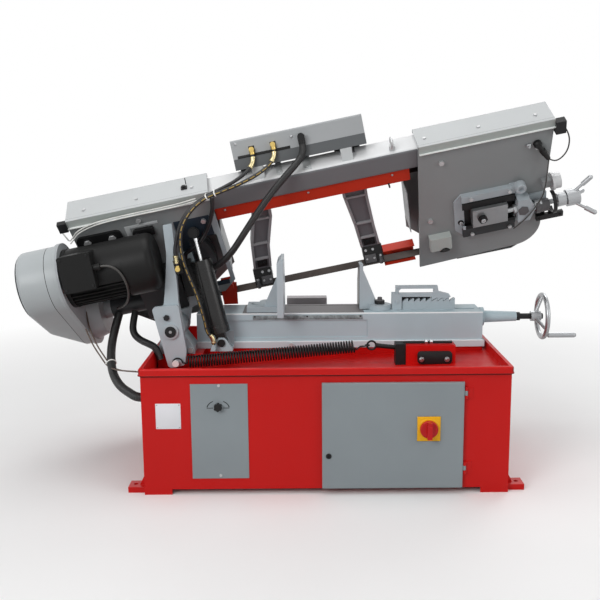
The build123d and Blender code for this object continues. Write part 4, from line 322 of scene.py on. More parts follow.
GUIDE_ARM = finish("guide_arm_grey", "6C6A6E", 0.45, edge_wear_and_highlight=1.4, areas=[("19191A", 0.45, 0.0, GUIDE_TOP_SHADE)])
RIB = finish("guide_rib_grey", "9A999C", 0.42)
CHARCOAL = finish("charcoal", "1A1A1A", 0.45, edge_wear_and_highlight=1.5, shine=0.14)
CYLINDER = finish("cylinder_paint", "1A1A1A", 0.26, edge_wear_and_highlight=1.5, shine=0.4)

# Bare metal
BLACK = finish("black_steel", "1B1B1C", 0.45, edge_wear_and_highlight=1.7)
STEEL = finish("steel", "A9AAAC", 0.32, metal=1.0, patch=14.0)
SLIDE = finish("slide_steel", "8F9193", 0.34, metal=0.7, patch=14.0,
               areas=[("161617", 0.5, 0.0, SLIDE_SIDES + SLIDE_HEXAGON)])
SCALE = finish("scale_aluminium", "8A9496", 0.5, patch=60.0, vary=0.35)
BLADE = finish("blade_steel", "544E4B", 0.4, metal=1.0, patch=8.0, vary=0.14)
CHROME = finish("chrome", "A8AAAC", 0.32, metal=0.75, bump=0.01)
ROD = finish("rod_chrome", "DEDFE0", 0.22, metal=1.0, bump=0.01, areas=[("1B1B1C", 0.45, 0.0, ROD_EYE)])
IRON = finish("iron", "5E6265", 0.55, metal=0.4, bump=0.2)
CRIMP = finish("crimp_brass", "C9BC92", 0.3, metal=1.0, patch=20.0)
FITTINGS = finish("fitting_metal", "C9AE68", 0.34, metal=1.0, patch=20.0,
                  areas=[("19191A", 0.45, 0.0, VALVE_BLOCK + CONDUIT_GLAND)])
ARM_BOLTS = finish("arm_fastener_steel", "C2C3C4", 0.36, metal=0.45, patch=14.0,
                   areas=[("1B1B1C", 0.45, 0.0,
                           MOTOR_BRACKET + LIMIT_SWITCHES + STOP_FOOT + LEVER_BOLT_HEAD + ROD_PIN),
                          ("8C8F90", 0.4, 0.0, GAUGE_BLOCK),
                          ("E2E2E2", 0.4, 0.0, SPRING_PIN_END)])
BASE_BOLTS = finish("base_fastener_steel", "C2C3C4", 0.36, metal=0.45, patch=14.0,
                    areas=[("1B1B1C", 0.45, 0.0, CYLINDER_PIN)])

# Plastic and rubber
RED_PLASTIC = finish("red_plastic", "C01A1C", 0.25, bump=0.02)
GREEN_PLASTIC = finish("green_plastic", "1E8A3C", 0.25, bump=0.02)
BLACK_PLASTIC = finish("black_plastic", "161616", 0.5, edge_wear_and_highlight=1.6)
YELLOW = finish("switch_yellow", "EFB21A", 0.3, vary=0.03)
WHITE = finish("plate_white", "E6E6EA", 0.45, vary=0.03)
NYLON = finish("tie_white", "EEEEEA", 0.4, vary=0.03)
HOSE = hose_skin("hose_rubber", "1B1B1D", 0.4)
DASHED = hose_skin("hose_dashed", "18181A", 0.42, dash="A3873C")
CONDUIT = hose_skin("conduit_rubber", "161617", 0.4, ring=0.005)
CORD = hose_skin("cable_rubber", "3A3836", 0.45)
PALE_CORD = hose_skin("cable_white", "DADAD6", 0.4)
BROWN_CORD = hose_skin("cable_brown", "5A4A40", 0.45)

CAD_FINISH = {
    RED: ("cabinet", "chip_tray", "spring_anchor"),
    PANEL: ("access_panel", "electrical_door"),
    BED_CAST: ("bed",),
    CHEEKS: ("pivot_cheeks",),
    MOVING_JAW: ("movable_jaw",),
    CARRIAGE: ("jaw_carriage",),
    BED: ("fixed_jaw", "pawl", "pivot_pedestal", "spring_lever", "cylinder_clevis"),
    DRIVE_PLATE: ("drive_plate",),
    IDLER_PLATE: ("idler_plate",),
    ARM: ("drive_front_cover", "idler_front_cover"),
    BEAM: ("saw_beam",),
    RAILS: ("tension_frame",),
    COVER: ("drive_top_cover", "idler_top_cover"),
    HOOD: ("belt_cover",),
    CHARCOAL: ("motor_body", "fan_cover"),
    CYLINDER: ("feed_cylinder",),
    BLACK: ("left_guide_head", "right_guide_head", "eye_bolt", "lead_screw"),
    STEEL: ("drive_shaft", "worm_shaft", "motor_shaft"),
    SLIDE: ("idler_slide",),
    ROD: ("piston_rod",),
    CHROME: ("handwheel", "handle_grip", "tension_handle"),
    IRON: ("drive_wheel", "idler_wheel"),
    PIVOT_PAINT: ("pivot_shaft",),
    GUIDE_ARM: ("left_guide_arm", "right_guide_arm"),
    GUARD: ("blade_guards", "idler_guard"),
    BLADE: ("blade",),
    RED_PLASTIC: ("switch_knob", "stop_button"),
    GREEN_PLASTIC: ("start_button",),
    BLACK_PLASTIC: ("panel_knob", "flow_knob", "v_belt"),
    GEARBOX: ("gearbox",),
    FITTINGS: ("hydraulic_fittings",),
    ARM_BOLTS: ("arm_fasteners",),
    BASE_BOLTS: ("base_fasteners",),
    BOX_PAINT: ("control_box",),
}


def dress_cad():
    for material, names in CAD_FINISH.items():
        for name in names:
            node = NODES[name]
            if not node.material_slots:
                node.data.materials.append(material)
            for spot in node.material_slots:
                spot.material = material


# Shapes, in millimetres of the frame that the piece is placed with
def about(middle, half):
    """Low, high pair round a middle."""
    return middle - half, middle + half


def round_edges(bm, verts, bevel):
    edges = {edge for vert in verts for edge in vert.link_edges}
    bmesh.ops.bevel(bm, geom=list(edges), offset=bevel, segments=2, profile=0.5, affect="EDGES")


def box(bm, x, y, z, bevel=0.6):
    size = Matrix.Diagonal((x[1] - x[0], y[1] - y[0], z[1] - z[0], 1.0))
    middle = Matrix.Translation(((x[0] + x[1]) / 2, (y[0] + y[1]) / 2, (z[0] + z[1]) / 2))
    made = bmesh.ops.create_cube(bm, size=1.0, matrix=middle @ size)
    round_edges(bm, made["verts"], bevel)


def skin(bm, rings):
    """Faces between rings of points, with both ends closed."""
    bm.faces.new(rings[0][::-1])
    bm.faces.new(rings[-1])
    for one, two in zip(rings, rings[1:]):
        for i in range(len(one)):
            j = (i + 1) % len(one)
            bm.faces.new((one[i], one[j], two[j], two[i]))


def prism(bm, points, low, high, bevel=0.6):
    """Outline in the first two axes, drawn out along the third."""
    rings = [[bm.verts.new((*p, height)) for p in points] for height in (low, high)]
    skin(bm, rings)
    round_edges(bm, rings[0] + rings[1], bevel)


def turned(bm, at, along, profile, sides=24):
    """Turned shape: profile is height, radius pairs from one end to the other."""
    axis = Vector(along).normalized()
    first = axis.orthogonal().normalized()
    second = axis.cross(first)
    turns = [2 * math.pi * i / sides for i in range(sides)]
    rings = []
    for height, radius in profile:
        middle = Vector(at) + axis * height
        spots = [middle + (first * math.cos(t) + second * math.sin(t)) * radius for t in turns]
        rings.append([bm.verts.new(spot) for spot in spots])
    skin(bm, rings)


def disc(bm, at, along, radius, height, edge=0.8, sides=28):
    turned(bm, at, along, [(0, radius), (height - edge, radius), (height, radius - edge)], sides)


def hex_head(bm, at, along, across, height, washer=True):
    """Hexagon head with a chamfered crown, on a washer."""
    rise = 1.6 if washer else 0.0
    corner = across / math.sqrt(3)
    if washer:
        disc(bm, at, along, corner * 1.25, rise, 0.4)
    start = Vector(at) + Vector(along).normalized() * rise
    turned(bm, start, along, [(0, corner), (height * 0.8, corner), (height, corner * 0.82)], 6)


def cap_screw(bm, at, along, radius, height):
    """Round head with a sunk socket."""
    head = [(0, radius), (height - 0.8, radius), (height, radius - 0.8)]
    socket = [(height, radius * 0.5), (height * 0.55, radius * 0.45)]
    turned(bm, at, along, head + socket, 20)


def lobed(bm, at, out, low, high):
    """Hand knob of five lobes."""
    outline = []
    for step in range(60):
        angle = math.radians(6 * step)
        reach = out * (1 + 0.13 * math.cos(5 * angle))
        outline.append((at[0] + reach * math.cos(angle), at[1] + reach * math.sin(angle)))
    prism(bm, outline, low, high, 1.5)


def add_piece(name, bm, place, material, body, slot, crease=32.0):
    """Puts a mesh into the scene as a piece that rides on a body when one is given."""
    bm.transform(place)
    bmesh.ops.recalc_face_normals(bm, faces=bm.faces)
    mesh = bpy.data.meshes.new(name)
    bm.to_mesh(mesh)
    bm.free()
    mesh.polygons.foreach_set("use_smooth", [True] * len(mesh.polygons))
    mesh.set_sharp_from_angle(angle=math.radians(crease))
    mesh.materials.append(material)
    made = bpy.data.objects.new(name, mesh)
    bpy.context.scene.collection.objects.link(made)
    if body:
        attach(made, body)
    return made


class Piece:
    """Mesh of one piece, which joins the scene at the end of its with block."""

    def __init__(self, name, *settings):
        self.name = name
        self.settings = settings
        self.bm = bmesh.new()

    def __enter__(self):
        return self.bm

    def __exit__(self, fault, *rest):
        if fault is None:
            add_piece(self.name, self.bm, *self.settings)


# Hoses and cables
def smooth_route(points, detail=10):
    """Points along the smooth route through metre points, read from its spline."""
    curve = bpy.data.curves.new("route", "CURVE")
    curve.dimensions = "3D"
    curve.resolution_u = detail
    spline = curve.splines.new("NURBS")
    spline.points.add(len(points) - 1)
    for spot, point in zip(spline.points, points):
        spot.co = (*point, 1.0)
    spline.order_u = 3
    spline.use_endpoint_u = True
    holder = bpy.data.objects.new("route", curve)
    mesh = bpy.data.meshes.new_from_object(holder)
    line = [vert.co.copy() for vert in mesh.vertices]
    bpy.data.objects.remove(holder)
    bpy.data.curves.remove(curve)
    bpy.data.meshes.remove(mesh)
    return line


def sweep(bm, line, radius, sides=16, closed=False):
    """Round tube along points, with its length and turn as texture coordinates."""
    uv = bm.loops.layers.uv.verify()
    count = len(line)
    turns = [2 * math.pi * k / sides for k in range(sides)]
    side = Vector((0, 1, 0))
    rings, lengths, run = [], [], 0.0
    for i, spot in enumerate(line):
        before = line[i - 1] if i or closed else spot
        after = line[(i + 1) % count] if i < count - 1 or closed else spot
        ahead = (after - before).normalized()
        side = (side - ahead * side.dot(ahead)).normalized()
        other = ahead.cross(side)
        spots = [spot + (side * math.cos(t) + other * math.sin(t)) * radius for t in turns]
        rings.append([bm.verts.new(s) for s in spots])
        run += (spot - line[i - 1]).length if i else 0.0
        lengths.append(run)
    for i in range(count if closed else count - 1):
        j = (i + 1) % count
        for k in range(sides):
            m = (k + 1) % sides
            face = bm.faces.new((rings[i][k], rings[i][m], rings[j][m], rings[j][k]))
            corners = ((i, k), (i, k + 1), (i + 1, k + 1), (i + 1, k))
            for loop, (row, turn) in zip(face.loops, corners):
                loop[uv].uv = (lengths[row] if row < count else run, turn / sides)
    if not closed:
        bm.faces.new(rings[0][::-1])
        bm.faces.new(rings[-1])
    return run


def on(place, points):
    return [place @ Vector(p) for p in points]


def hose(name, points, radius, material, slot, node, body=None, across=None):
    """Tube along a route: body carries it whole; with across set, it is fixed in place on no body, and the
    bodies and points it names are not used.
    """
    line = smooth_route(points)
    bm = bmesh.new()
    length = sweep(bm, line, radius)
    made = add_piece(name, bm, Matrix(), material, body, slot, 60.0)
    if across:
        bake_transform(made)
    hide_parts(node)
    return line


def cable(name, points, radius, material, body=None, across=None):
    """Wire or short hose that is in the scene alone."""
    bm = bmesh.new()
    sweep(bm, smooth_route(points), radius, 10)
    made = add_piece(name, bm, Matrix(), material, body, "rubber", 60.0)
    if across:
        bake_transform(made)


HOSE_NEAR = on(LEVEL, [(414, -84, 547), (414, -84, 526), (392, -100, 498), (344, -118, 472), (290, -126, 456),
                       (232, -128, 442), (172, -128, 416), (124, -126, 374), (94, -122, 318), (74, -119, 268),
                       (74, -119, 224)])
HOSE_FAR = on(LEVEL, [(490, -84, 549), (490, -84, 528), (464, -106, 498), (412, -130, 474), (354, -144, 458),
                      (290, -146, 446), (224, -146, 436), (166, -144, 404), (122, -142, 354),
                      (104, -138, 296), (100, -130, 236), (106, -116, 176), (116, -106, 116), (120, -102, 58),
                      (122, -98, 6), (120, -94, -40)])
FEED_END = on(WORLD, [(-398, -92, 488), (-398, -92, 462)])
BEAM_CONDUIT = on(LEVEL, [(591, -87.5, 548), (591, -87.5, 520), (562, -110, 488), (506, -118, 448),
                          (444, -118, 398), (384, -116, 342), (326, -108, 284), (276, -88, 234),
                          (240, -50, 206), (206, -6, 186), (158, 13, 168), (112, 13, 168)])
MOTOR_CABLE = on(LEVEL, [(-162, -228, 285.6), (-138, -228, 285.6), (-106, -226, 262), (-92, -214, 214),
                         (-100, -180, 168), (-128, -130, 130), (-170, -76, 112), (-196, -18, 104),
                         (-206, 39, 100)])
SUPPLY = on(WORLD, [(-763, 38, 552), (-770, 10, 516), (-776, -42, 463), (-768, -104, 422), (-750, -170, 381),
                    (-713, -230, 349), (-666, -272, 333), (-640, -290, 325), (-610, -290, 325)])
COOLANT = on(WORLD, [(-702, 40, 560), (-708, 8, 518), (-698, -28, 490), (-668, -62, 474), (-632, -92, 467),
                     (-598, -112, 455), (-588, -118, 415)])
SWITCH_CABLE = on(SAW, [(-297, 500, 74), (-291, 484, 78), (-286, 462, 79), (-270, 474, 78), (-250, 496, 77),
                        (-208, 512, 77), (-155, 521, 76), (-46, 524, 76), (61, 523, 76), (140, 525, 76),
                        (190, 530, 74)])
SENSOR_LOOP = on(SAW, [(1436, 388, 82), (1452, 372, 80), (1479, 372, 74), (1505, 397, 68), (1512, 439, 64),
                       (1503, 476, 62), (1490, 500, 62)])
SENSOR_LEAD = on(SAW, [(1434, 392, 82), (1428, 366, 92), (1420, 330, 108), (1412, 295, 118), (1404, 258, 120),
                       (1386, 224, 120), (1358, 182, 119), (1330, 150, 118), (1300, 122, 112)])
LOOP_HOSE = on(LEVEL, [(246, -118, 434), (243, -104, 408), (232, -84, 380), (212, -56, 344), (186, -30, 310),
                       (152, -20, 277), (114, -10, 258), (90, 8, 249), (87, 12, 229)])
EARTH_LEAD = on(WORLD, [(-884, -26, 590), (-872, -62, 540), (-838, -90, 470), (-802, -112, 424),
                        (-776, -134, 396), (-738, -190, 398), (-690, -264, 412), (-634, -334, 428)])
SECOND_CABLE_SHIFT = Vector((0.004, -0.003, -0.007))
HOSE_R = 0.0065
CONDUIT_R = 0.012
CABLE_R = 0.004
SUPPLY_R = 0.0155
COOLANT_R = 0.013
SLEEVE_R = 0.0084


def hoses():
    """Builds the part's cords, and gives back the lines of the two hydraulic hoses."""
    near = hose("arm_hose", HOSE_NEAR, HOSE_R, HOSE, "rubber", "arm_cables", body="arm")
    feed = hose("feed_hose", HOSE_FAR + FEED_END, HOSE_R, DASHED, "rubber", "crossing_hoses",
                across=("arm", "base", HOSE_FAR[9], FEED_END[0]))
    hose("beam_conduit", BEAM_CONDUIT, CONDUIT_R, CONDUIT, "rubber", "arm_cables", body="arm")
    hose("motor_cable", MOTOR_CABLE, CABLE_R, CORD, "rubber", "arm_cables", body="arm")
    hose("supply_conduit", SUPPLY, SUPPLY_R, CONDUIT, "rubber", "crossing_hoses",
         across=("arm", "base", SUPPLY[1], SUPPLY[-2]))
    hose("coolant_hose", COOLANT, COOLANT_R, CONDUIT, "rubber", "crossing_hoses",
         across=("arm", "base", COOLANT[1], COOLANT[-2]))
    return near, feed


def tie(bm, spots, along, reach, thick=1.3):
    """Closed strap round one or two tubes of the same size, with its lock."""
    ahead = Vector(along).normalized()
    first, last = Vector(spots[0]), Vector(spots[-1])
    out = last - first if len(spots) > 1 else Vector(UP)
    out = (out - ahead * out.dot(ahead)).normalized()
    side = ahead.cross(out)
    turns = [(first, 15 * step) for step in range(24)]
    if len(spots) > 1:
        turns = [(first, 90 + 15 * step) for step in range(13)]
        turns += [(last, -90 + 15 * step) for step in range(13)]
    line = []
    for centre, turn in turns:
        angle = math.radians(turn)
        line.append(centre + (out * math.cos(angle) + side * math.sin(angle)) * reach)
    for shift in (-1.1, 0.0, 1.1):
        sweep(bm, [spot + ahead * shift for spot in line], thick, 8, closed=True)
    lock = first + side * (reach + 1.5)
    box(bm, about(lock.x, 2.6), about(lock.y, 2.2), about(lock.z, 2.2), 0.5)


def sleeve(bm, line, skip, length):
    """Crimped sleeve on a stretch of a route, with a raised collar at both ends."""
    run, part = 0.0, []
    for before, after in zip(line, line[1:]):
        run += (after - before).length
        if skip <= run <= skip + length:
            part.append(after)
    sweep(bm, part, SLEEVE_R, 20)
    collar = [(0, SLEEVE_R * 0.8), (0.001, SLEEVE_R * 1.1), (0.006, SLEEVE_R * 1.1)]
    for spot, ahead in ((part[0], part[1] - part[0]), (part[-1], part[-2] - part[-1])):
        turned(bm, spot, ahead, collar, 20)


def hose_ends(near, feed):
    with Piece("arm_hose_sleeves", Matrix(), CRIMP, "arm", "brass") as bm:
        sleeve(bm, near, 0.004, 0.046)
        sleeve(bm, feed, 0.004, 0.046)
        sleeve(bm, near[::-1], 0.002, 0.040)
    with Piece("feed_hose_sleeve", Matrix(), CRIMP, "base", "brass") as bm:
        sleeve(bm, feed[::-1], 0.002, 0.036)
    bm = bmesh.new()
    tie(bm, [(-761, -129, 406)], (0.26, -0.83, -0.52), 17)
    made = add_piece("supply_tie", bm, WORLD, NYLON, None, "steel", 50.0)
    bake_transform(made)
    with Piece("hose_ties", LEVEL, NYLON, "arm", "steel", 50.0) as bm:
        tie(bm, [(232, -128, 442), (231, -146, 437)], (1, 0, 0.35), 7.6)
        tie(bm, [(262, -127.5, 449.5), (262, -146, 441.5)], (1, 0, 0.24), 7.6)


def thin_cables():
    second = [p + SECOND_CABLE_SHIFT for p in SWITCH_CABLE[2:]]
    cable("switch_cable", SWITCH_CABLE, 0.0024, PALE_CORD, "arm")
    cable("switch_cable_second", second, 0.0022, PALE_CORD, "arm")
    cable("loop_hose", LOOP_HOSE, 0.008, HOSE, "arm")
    cable("sensor_loop", SENSOR_LOOP, 0.0026, CORD, "arm")
    cable("sensor_lead", SENSOR_LEAD, 0.0024, CORD, "arm")
    for count, shift in enumerate((0.0, 0.012)):
        route = [p + Vector((shift, shift, -0.4 * shift)) for p in EARTH_LEAD]
        cable("earth_lead_%d" % count, route, 0.0026, BROWN_CORD, across=("arm", "base", route[1], route[-2]))


# Counter spring
SPRING_PIN = LEVEL @ Vector((-7, -135, -114))
SPRING_EYE = Vector((0.1525, -0.135, 0.465))
SPRING_TURNS = 62
TURN_STEPS = 18
WIRE_R = 0.0028
COIL_R = 0.020
LOOP_R = 0.017
HOOK_R = 0.0073
LEAD_IN = 0.026
LEAD_OUT = 0.046


def ease(part):
    """Slow start and slow end between zero and one."""
    return part * part * (3 - 2 * part)


def counter_spring():
    """Open loop over the lever's pin, a lead into the coil, the coil, and a hook through the eye."""
    along = (SPRING_EYE - SPRING_PIN).normalized()
    span = (SPRING_EYE - SPRING_PIN).length
    side = Vector(NEAR)
    up = side.cross(along)
    first, last = LOOP_R + LEAD_IN, span - LEAD_OUT
    loop = SPRING_PIN + along * 0.006
    line = []
    for step in range(21):
        angle = math.radians(-78 + 13.2 * step)
        line.append(loop - along * (LOOP_R * math.cos(angle)) + up * (LOOP_R * math.sin(angle)))
    start = line[-1]
    lead = SPRING_PIN + along * first + side * COIL_R - start
    for step in range(1, 8):
        part = step / 8
        line.append(start + along * (lead.dot(along) * part) + side * (lead.dot(side) * ease(part))
                    + up * (lead.dot(up) * part))
    steps = SPRING_TURNS * TURN_STEPS
    for step in range(steps + 1):
        angle = 2 * math.pi * step / TURN_STEPS
        out = side * math.cos(angle) + up * math.sin(angle)
        line.append(SPRING_PIN + along * (first + (last - first) * step / steps) + out * COIL_R)
    start = line[-1]
    leave = SPRING_EYE - along * 0.024 + side * HOOK_R
    for step in range(1, 7):
        part = step / 6
        line.append(start.lerp(leave, part) - up * (0.012 * math.sin(math.pi * part) * (1 - ease(part))))
    for step in range(13):
        angle = math.radians(15 * step)
        line.append(SPRING_EYE + along * (HOOK_R * math.sin(angle)) + side * (HOOK_R * math.cos(angle)))
    line.append(SPRING_EYE - side * HOOK_R - along * 0.008)
    bm = bmesh.new()
    sweep(bm, line, WIRE_R, 10)
    made = add_piece("counter_spring_wire", bm, Matrix(), BLACK, None, "black_steel", 60.0)
    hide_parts("counter_spring")
    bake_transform(made)


# Cabinet front
DOOR_FACE = -365.2
SWITCH_X, SWITCH_Z = 342, 232
LOCK_X, LOCK_Z = 8, 138
NAME_PLATE_X, NAME_PLATE_Z = -528, 277
NAME_PLATE_Y = (-352.2, -350.6)
KNOB_X, KNOB_Z = -360, 305
KNOB_MARK_Y = (-354.0, -353.2)


def cabinet_details():
    with Piece("switch_plate", WORLD, YELLOW, "door", "red_plastic") as bm:
        box(bm, about(SWITCH_X, 39), (DOOR_FACE - 4, DOOR_FACE), about(SWITCH_Z, 42.5), 1.2)
        turned(bm, (SWITCH_X, DOOR_FACE - 3.7, SWITCH_Z), NEAR, [(0, 35), (1.6, 35), (2.6, 33.8)], 40)
    with Piece("door_lock", WORLD, BLACK_PLASTIC, "door", "black_plastic") as bm:
        ring = [(0, 9.5), (2.4, 9.5), (3.6, 8.2), (3.6, 5.0), (1.4, 4.6)]
        turned(bm, (LOCK_X, DOOR_FACE + 0.6, LOCK_Z), NEAR, ring, 28)
        box(bm, about(LOCK_X, 1.1), (DOOR_FACE - 2.4, DOOR_FACE + 0.2), about(LOCK_Z, 3.4), 0.4)
    with Piece("name_plate", WORLD, WHITE, "base", "steel") as bm:
        box(bm, about(NAME_PLATE_X, 42), NAME_PLATE_Y, about(NAME_PLATE_Z, 44), 0.5)
    with Piece("name_plate_rivets", WORLD, STEEL, "base", "steel") as bm:
        for x in about(NAME_PLATE_X, 37):
            for z in about(NAME_PLATE_Z, 39):
                turned(bm, (x, NAME_PLATE_Y[0] + 0.2, z), NEAR, [(0, 2.2), (0.6, 2.0), (1.1, 1.0)], 14)
    with Piece("panel_knob_outline", WORLD, BLACK, "base", "black_steel") as bm:
        for x in about(KNOB_X, 27.5):
            box(bm, about(x, 10.5), KNOB_MARK_Y, about(KNOB_Z + 0.2, 1.0), 0.2)
        for step in range(18):
            angle = math.radians(9 + 4.3 * step)
            if 36 * math.cos(angle) > 16:
                for x in about(KNOB_X, 37 * math.cos(angle)):
                    z = KNOB_Z + 26 * math.sin(angle)
                    box(bm, about(x, 1.4), KNOB_MARK_Y, about(z, 1.1), 0.2)


# Bed scale
SCALE_FACE = 10.6
SCALE_START = -259
SCALE_STEP = 5
SCALE_MARKS = 82
LONG_MARK, MIDDLE_MARK, SHORT_MARK = 546.0, 542.0, 538.0


def scale_strip():
    with Piece("bed_scale", WORLD, SCALE, "base", "steel") as bm:
        box(bm, (-262, 145), (SCALE_FACE, SCALE_FACE + 1.7), (531, 547), 0.3)
    with Piece("bed_scale_marks", WORLD, BLACK, "base", "black_steel") as bm:
        for step in range(SCALE_MARKS):
            x = SCALE_START + SCALE_STEP * step
            high = SHORT_MARK if step % 5 else MIDDLE_MARK if step % 10 else LONG_MARK
            box(bm, about(x, 0.35), (SCALE_FACE - 0.5, SCALE_FACE + 0.3), (532, high), 0.1)
        for x in (-254, -60, 137):
            disc(bm, (x, SCALE_FACE + 0.1, 543), NEAR, 3.0, 1.8, 0.5, 18)


# Blade guides: the body, two upright ribs, the cross ribs' low, high and v, the pad's outline and screws
RIB_W = (-22.4, -13)
RIB_HIGH = 9
PAD_V = (112, 74)
PAD_SCREW_V = 94
HEAD_FACE = 236.2
HEAD_PLATE_FACE = 229.2
GUIDES = {
    "left_guide": (
        "arm",
        ([(356, 404), (366, 404), (366, 331), (330, 191), (315.6, 70), (305.8, 70), (320, 190), (356, 330)],
         [(418, 404), (428, 404), (428, 315), (392, 180), (378.2, 70), (368.2, 70), (382, 181), (418, 316)]),
        ((366, 418, 392), (362, 414, 306), (330, 384, 188), (321, 373, 112)),
        (328, 367, 362, 324), (337, 355)),
    "right_guide": (
        "right_guide",
        ([(698, 404), (708, 404), (708, 336), (731, 191), (743.2, 70), (733.2, 70), (721, 190), (698, 335)],
         [(780, 404), (790, 404), (790, 322), (800, 165), (809.8, 70), (799.8, 70), (790, 165), (780, 322)]),
        ((708, 780, 392), (706, 782, 318), (727, 790, 186), (739, 795, 112)),
        (744, 790, 792, 748), (758, 780)),
}


def guide_ribs():
    for name, (body, uprights, crossings, pad, screws) in GUIDES.items():
        with Piece(name + "_ribs", SAW, RIB, body, "iron") as bm:
            for outline in uprights:
                prism(bm, outline, *RIB_W, 1.0)
            for low, high, v in crossings:
                box(bm, (low - 1, high + 1), (v, v + RIB_HIGH), RIB_W, 1.0)
        with Piece(name + "_pad_plate", SAW, BLACK, body, "black_steel") as bm:
            top, foot = PAD_V
            prism(bm, list(zip(pad, (top, top, foot, foot))), -22.2, -16, 0.8)
            for u in screws:
                cap_screw(bm, (u, PAD_SCREW_V, -16), OUT, 6, 5)


def guide_heads():
    """Pad plates, clamp screws and bearing bolts on the near faces of the guide heads."""
    bolt_shape = [(0, 7), (16, 7), (18, 9.5), (24, 9.5), (25, 6.5), (32, 6.5)]
    for name, low, high, bolt in (("left_guide", 328, 370, 312), ("right_guide", 742, 786, 803)):
        body = GUIDES[name][0]
        with Piece(name + "_plate", LEVEL, GUIDE, body, "iron") as bm:
            box(bm, (low, high), (HEAD_PLATE_FACE - 0.2, HEAD_FACE + 0.2), (46, 78), 1.2)
            turned(bm, (bolt, 232, 66), (0, 0, -1), bolt_shape, 6)
        with Piece(name + "_screws", LEVEL, STEEL, body, "steel") as bm:
            for u in (low + 8, high - 8):
                cap_screw(bm, (u, HEAD_FACE, 96), NEAR, 5.5, 5)
                cap_screw(bm, (u, HEAD_PLATE_FACE, 62), NEAR, 4.2, 4)
            cap_screw(bm, (bolt, 232, 64), UP, 6.5, 8)


# Knobs of the hinged front covers
COVER_KNOBS = {"drive_cover": (-110, 60), "idler_cover": (1110, 1280)}
COVER_KNOB_V = 6
COVER_OUTER_W = -61.8


def cover_knobs():
    for body, places in COVER_KNOBS.items():
        with Piece(body + "_knobs", SAW, BLACK_PLASTIC, body, "black_plastic") as bm:
            for u in places:
                post = [(0, 15), (3, 15), (4, 10), (12, 9)]
                turned(bm, (u, COVER_KNOB_V, COVER_OUTER_W), (0, 0, -1), post, 28)
                lobed(bm, (u, COVER_KNOB_V), 18, -86, -72)


# Vise nut, pawl handle, rack and spring anchor
NUT_X, NUT_Y = 215, 80
ANCHOR_ROD = (280, -135, 475.4)
ANCHOR_PLATE_X = (327, 449)
ANCHOR_PLATE_Z = (405, 450)
ANCHOR_CORNER = 12


def vise_details():
    with Piece("jaw_stud", WORLD, GUIDE, "vise", "iron") as bm:
        disc(bm, (NUT_X, NUT_Y, 588.7), UP, 17, 2.4, 0.6)
        turned(bm, (NUT_X, NUT_Y, 591), UP, [(0, 9), (9, 9), (11, 7)], 24)
    with Piece("pawl_handle_post", UPRIGHT, BED, "vise_pawl", "bed_grey") as bm:
        prism(bm, [(274, 616.6), (286, 616.6), (286, 626), (289, 631), (296, 634.2), (296, 636), (277, 636),
                   (274, 633)], -90, -70, 0.8)
    with Piece("rack_back", WORLD, BLACK, "vise", "black_steel") as bm:
        box(bm, (297, 407.5), (90.6, 92.6), (576, 602.4), 0.5)
        for x in (310, 395):
            turned(bm, (x, 92.4, 582), (0, 1, 0), [(0, 3.4), (1, 3.2), (2, 2)], 16)


def anchor_rod():
    profile = [(0, 4)]
    for start in range(2, 172, 3):
        profile += [(start, 4.4), (start + 1.5, 5.0)]
    with Piece("anchor_rod", WORLD, BLACK, "base", "black_steel") as bm:
        turned(bm, ANCHOR_ROD, RIGHT, profile + [(174, 4)], 20)
    with Piece("anchor_nuts", WORLD, STEEL, "base", "steel") as bm:
        for x in (356, 374):
            turned(bm, (x, *ANCHOR_ROD[1:]), RIGHT, [(0, 8), (1, 9.4), (10, 9.4), (11, 8)], 6)


def anchor_plate():
    left, right = ANCHOR_PLATE_X[0] + ANCHOR_CORNER, ANCHOR_PLATE_X[1] - ANCHOR_CORNER
    low, high = ANCHOR_PLATE_Z[0] + ANCHOR_CORNER, ANCHOR_PLATE_Z[1] - ANCHOR_CORNER
    outline = []
    for x, z, start in ((right, high, 0), (left, high, 90), (left, low, 180), (right, low, 270)):
        for step in range(6):
            angle = math.radians(start + 18 * step)
            outline.append((x + ANCHOR_CORNER * math.cos(angle), z + ANCHOR_CORNER * math.sin(angle)))
    with Piece("anchor_plate", UPRIGHT, BLACK, "base", "black_steel") as bm:
        prism(bm, outline, 164.6, 174, 0.8)
    with Piece("anchor_bolts", WORLD, STEEL, "base", "steel") as bm:
        for x in (341, 431):
            hex_head(bm, (x, -173.8, 421), NEAR, 13, 7)


# Beam, control box and drive end
BOX_FACE = -74.6
BEAM_SEAT = 522.6
PLATE_SEAT = 61.6
STRIP_PIN = (866, 392, 32)
STRIP_PIN_LEAN = (0.12, -1, 0)


def box_details():
    with Piece("box_slot", LEVEL, BLACK_PLASTIC, "arm", "black_plastic") as bm:
        box(bm, (361, 548), (BOX_FACE - 1.3, BOX_FACE), (541, 551), 0.4)
        for low in (404, 480):
            box(bm, (low, low + 21), (BOX_FACE - 1.4, BOX_FACE), (549, 577), 0.5)
    with Piece("box_screws", LEVEL, STEEL, "arm", "steel") as bm:
        head = [(0, 4.6), (1.4, 4.4), (2.6, 2.8), (2.6, 1.6), (1.2, 1.4)]
        for u, z in ((362, 594), (558, 580)):
            turned(bm, (u, BOX_FACE - 0.2, z), NEAR, head, 20)
    with Piece("box_tabs", SAW, COVER, "arm", "cover_white") as bm:
        for low, high, end in ((482, 503, 30), (579, 606, 34)):
            box(bm, (low, high), (BEAM_SEAT, 525.4), (-44, end), 0.5)
            hex_head(bm, ((low + high) / 2, 525.2, end - 12), RISE, 9, 4)


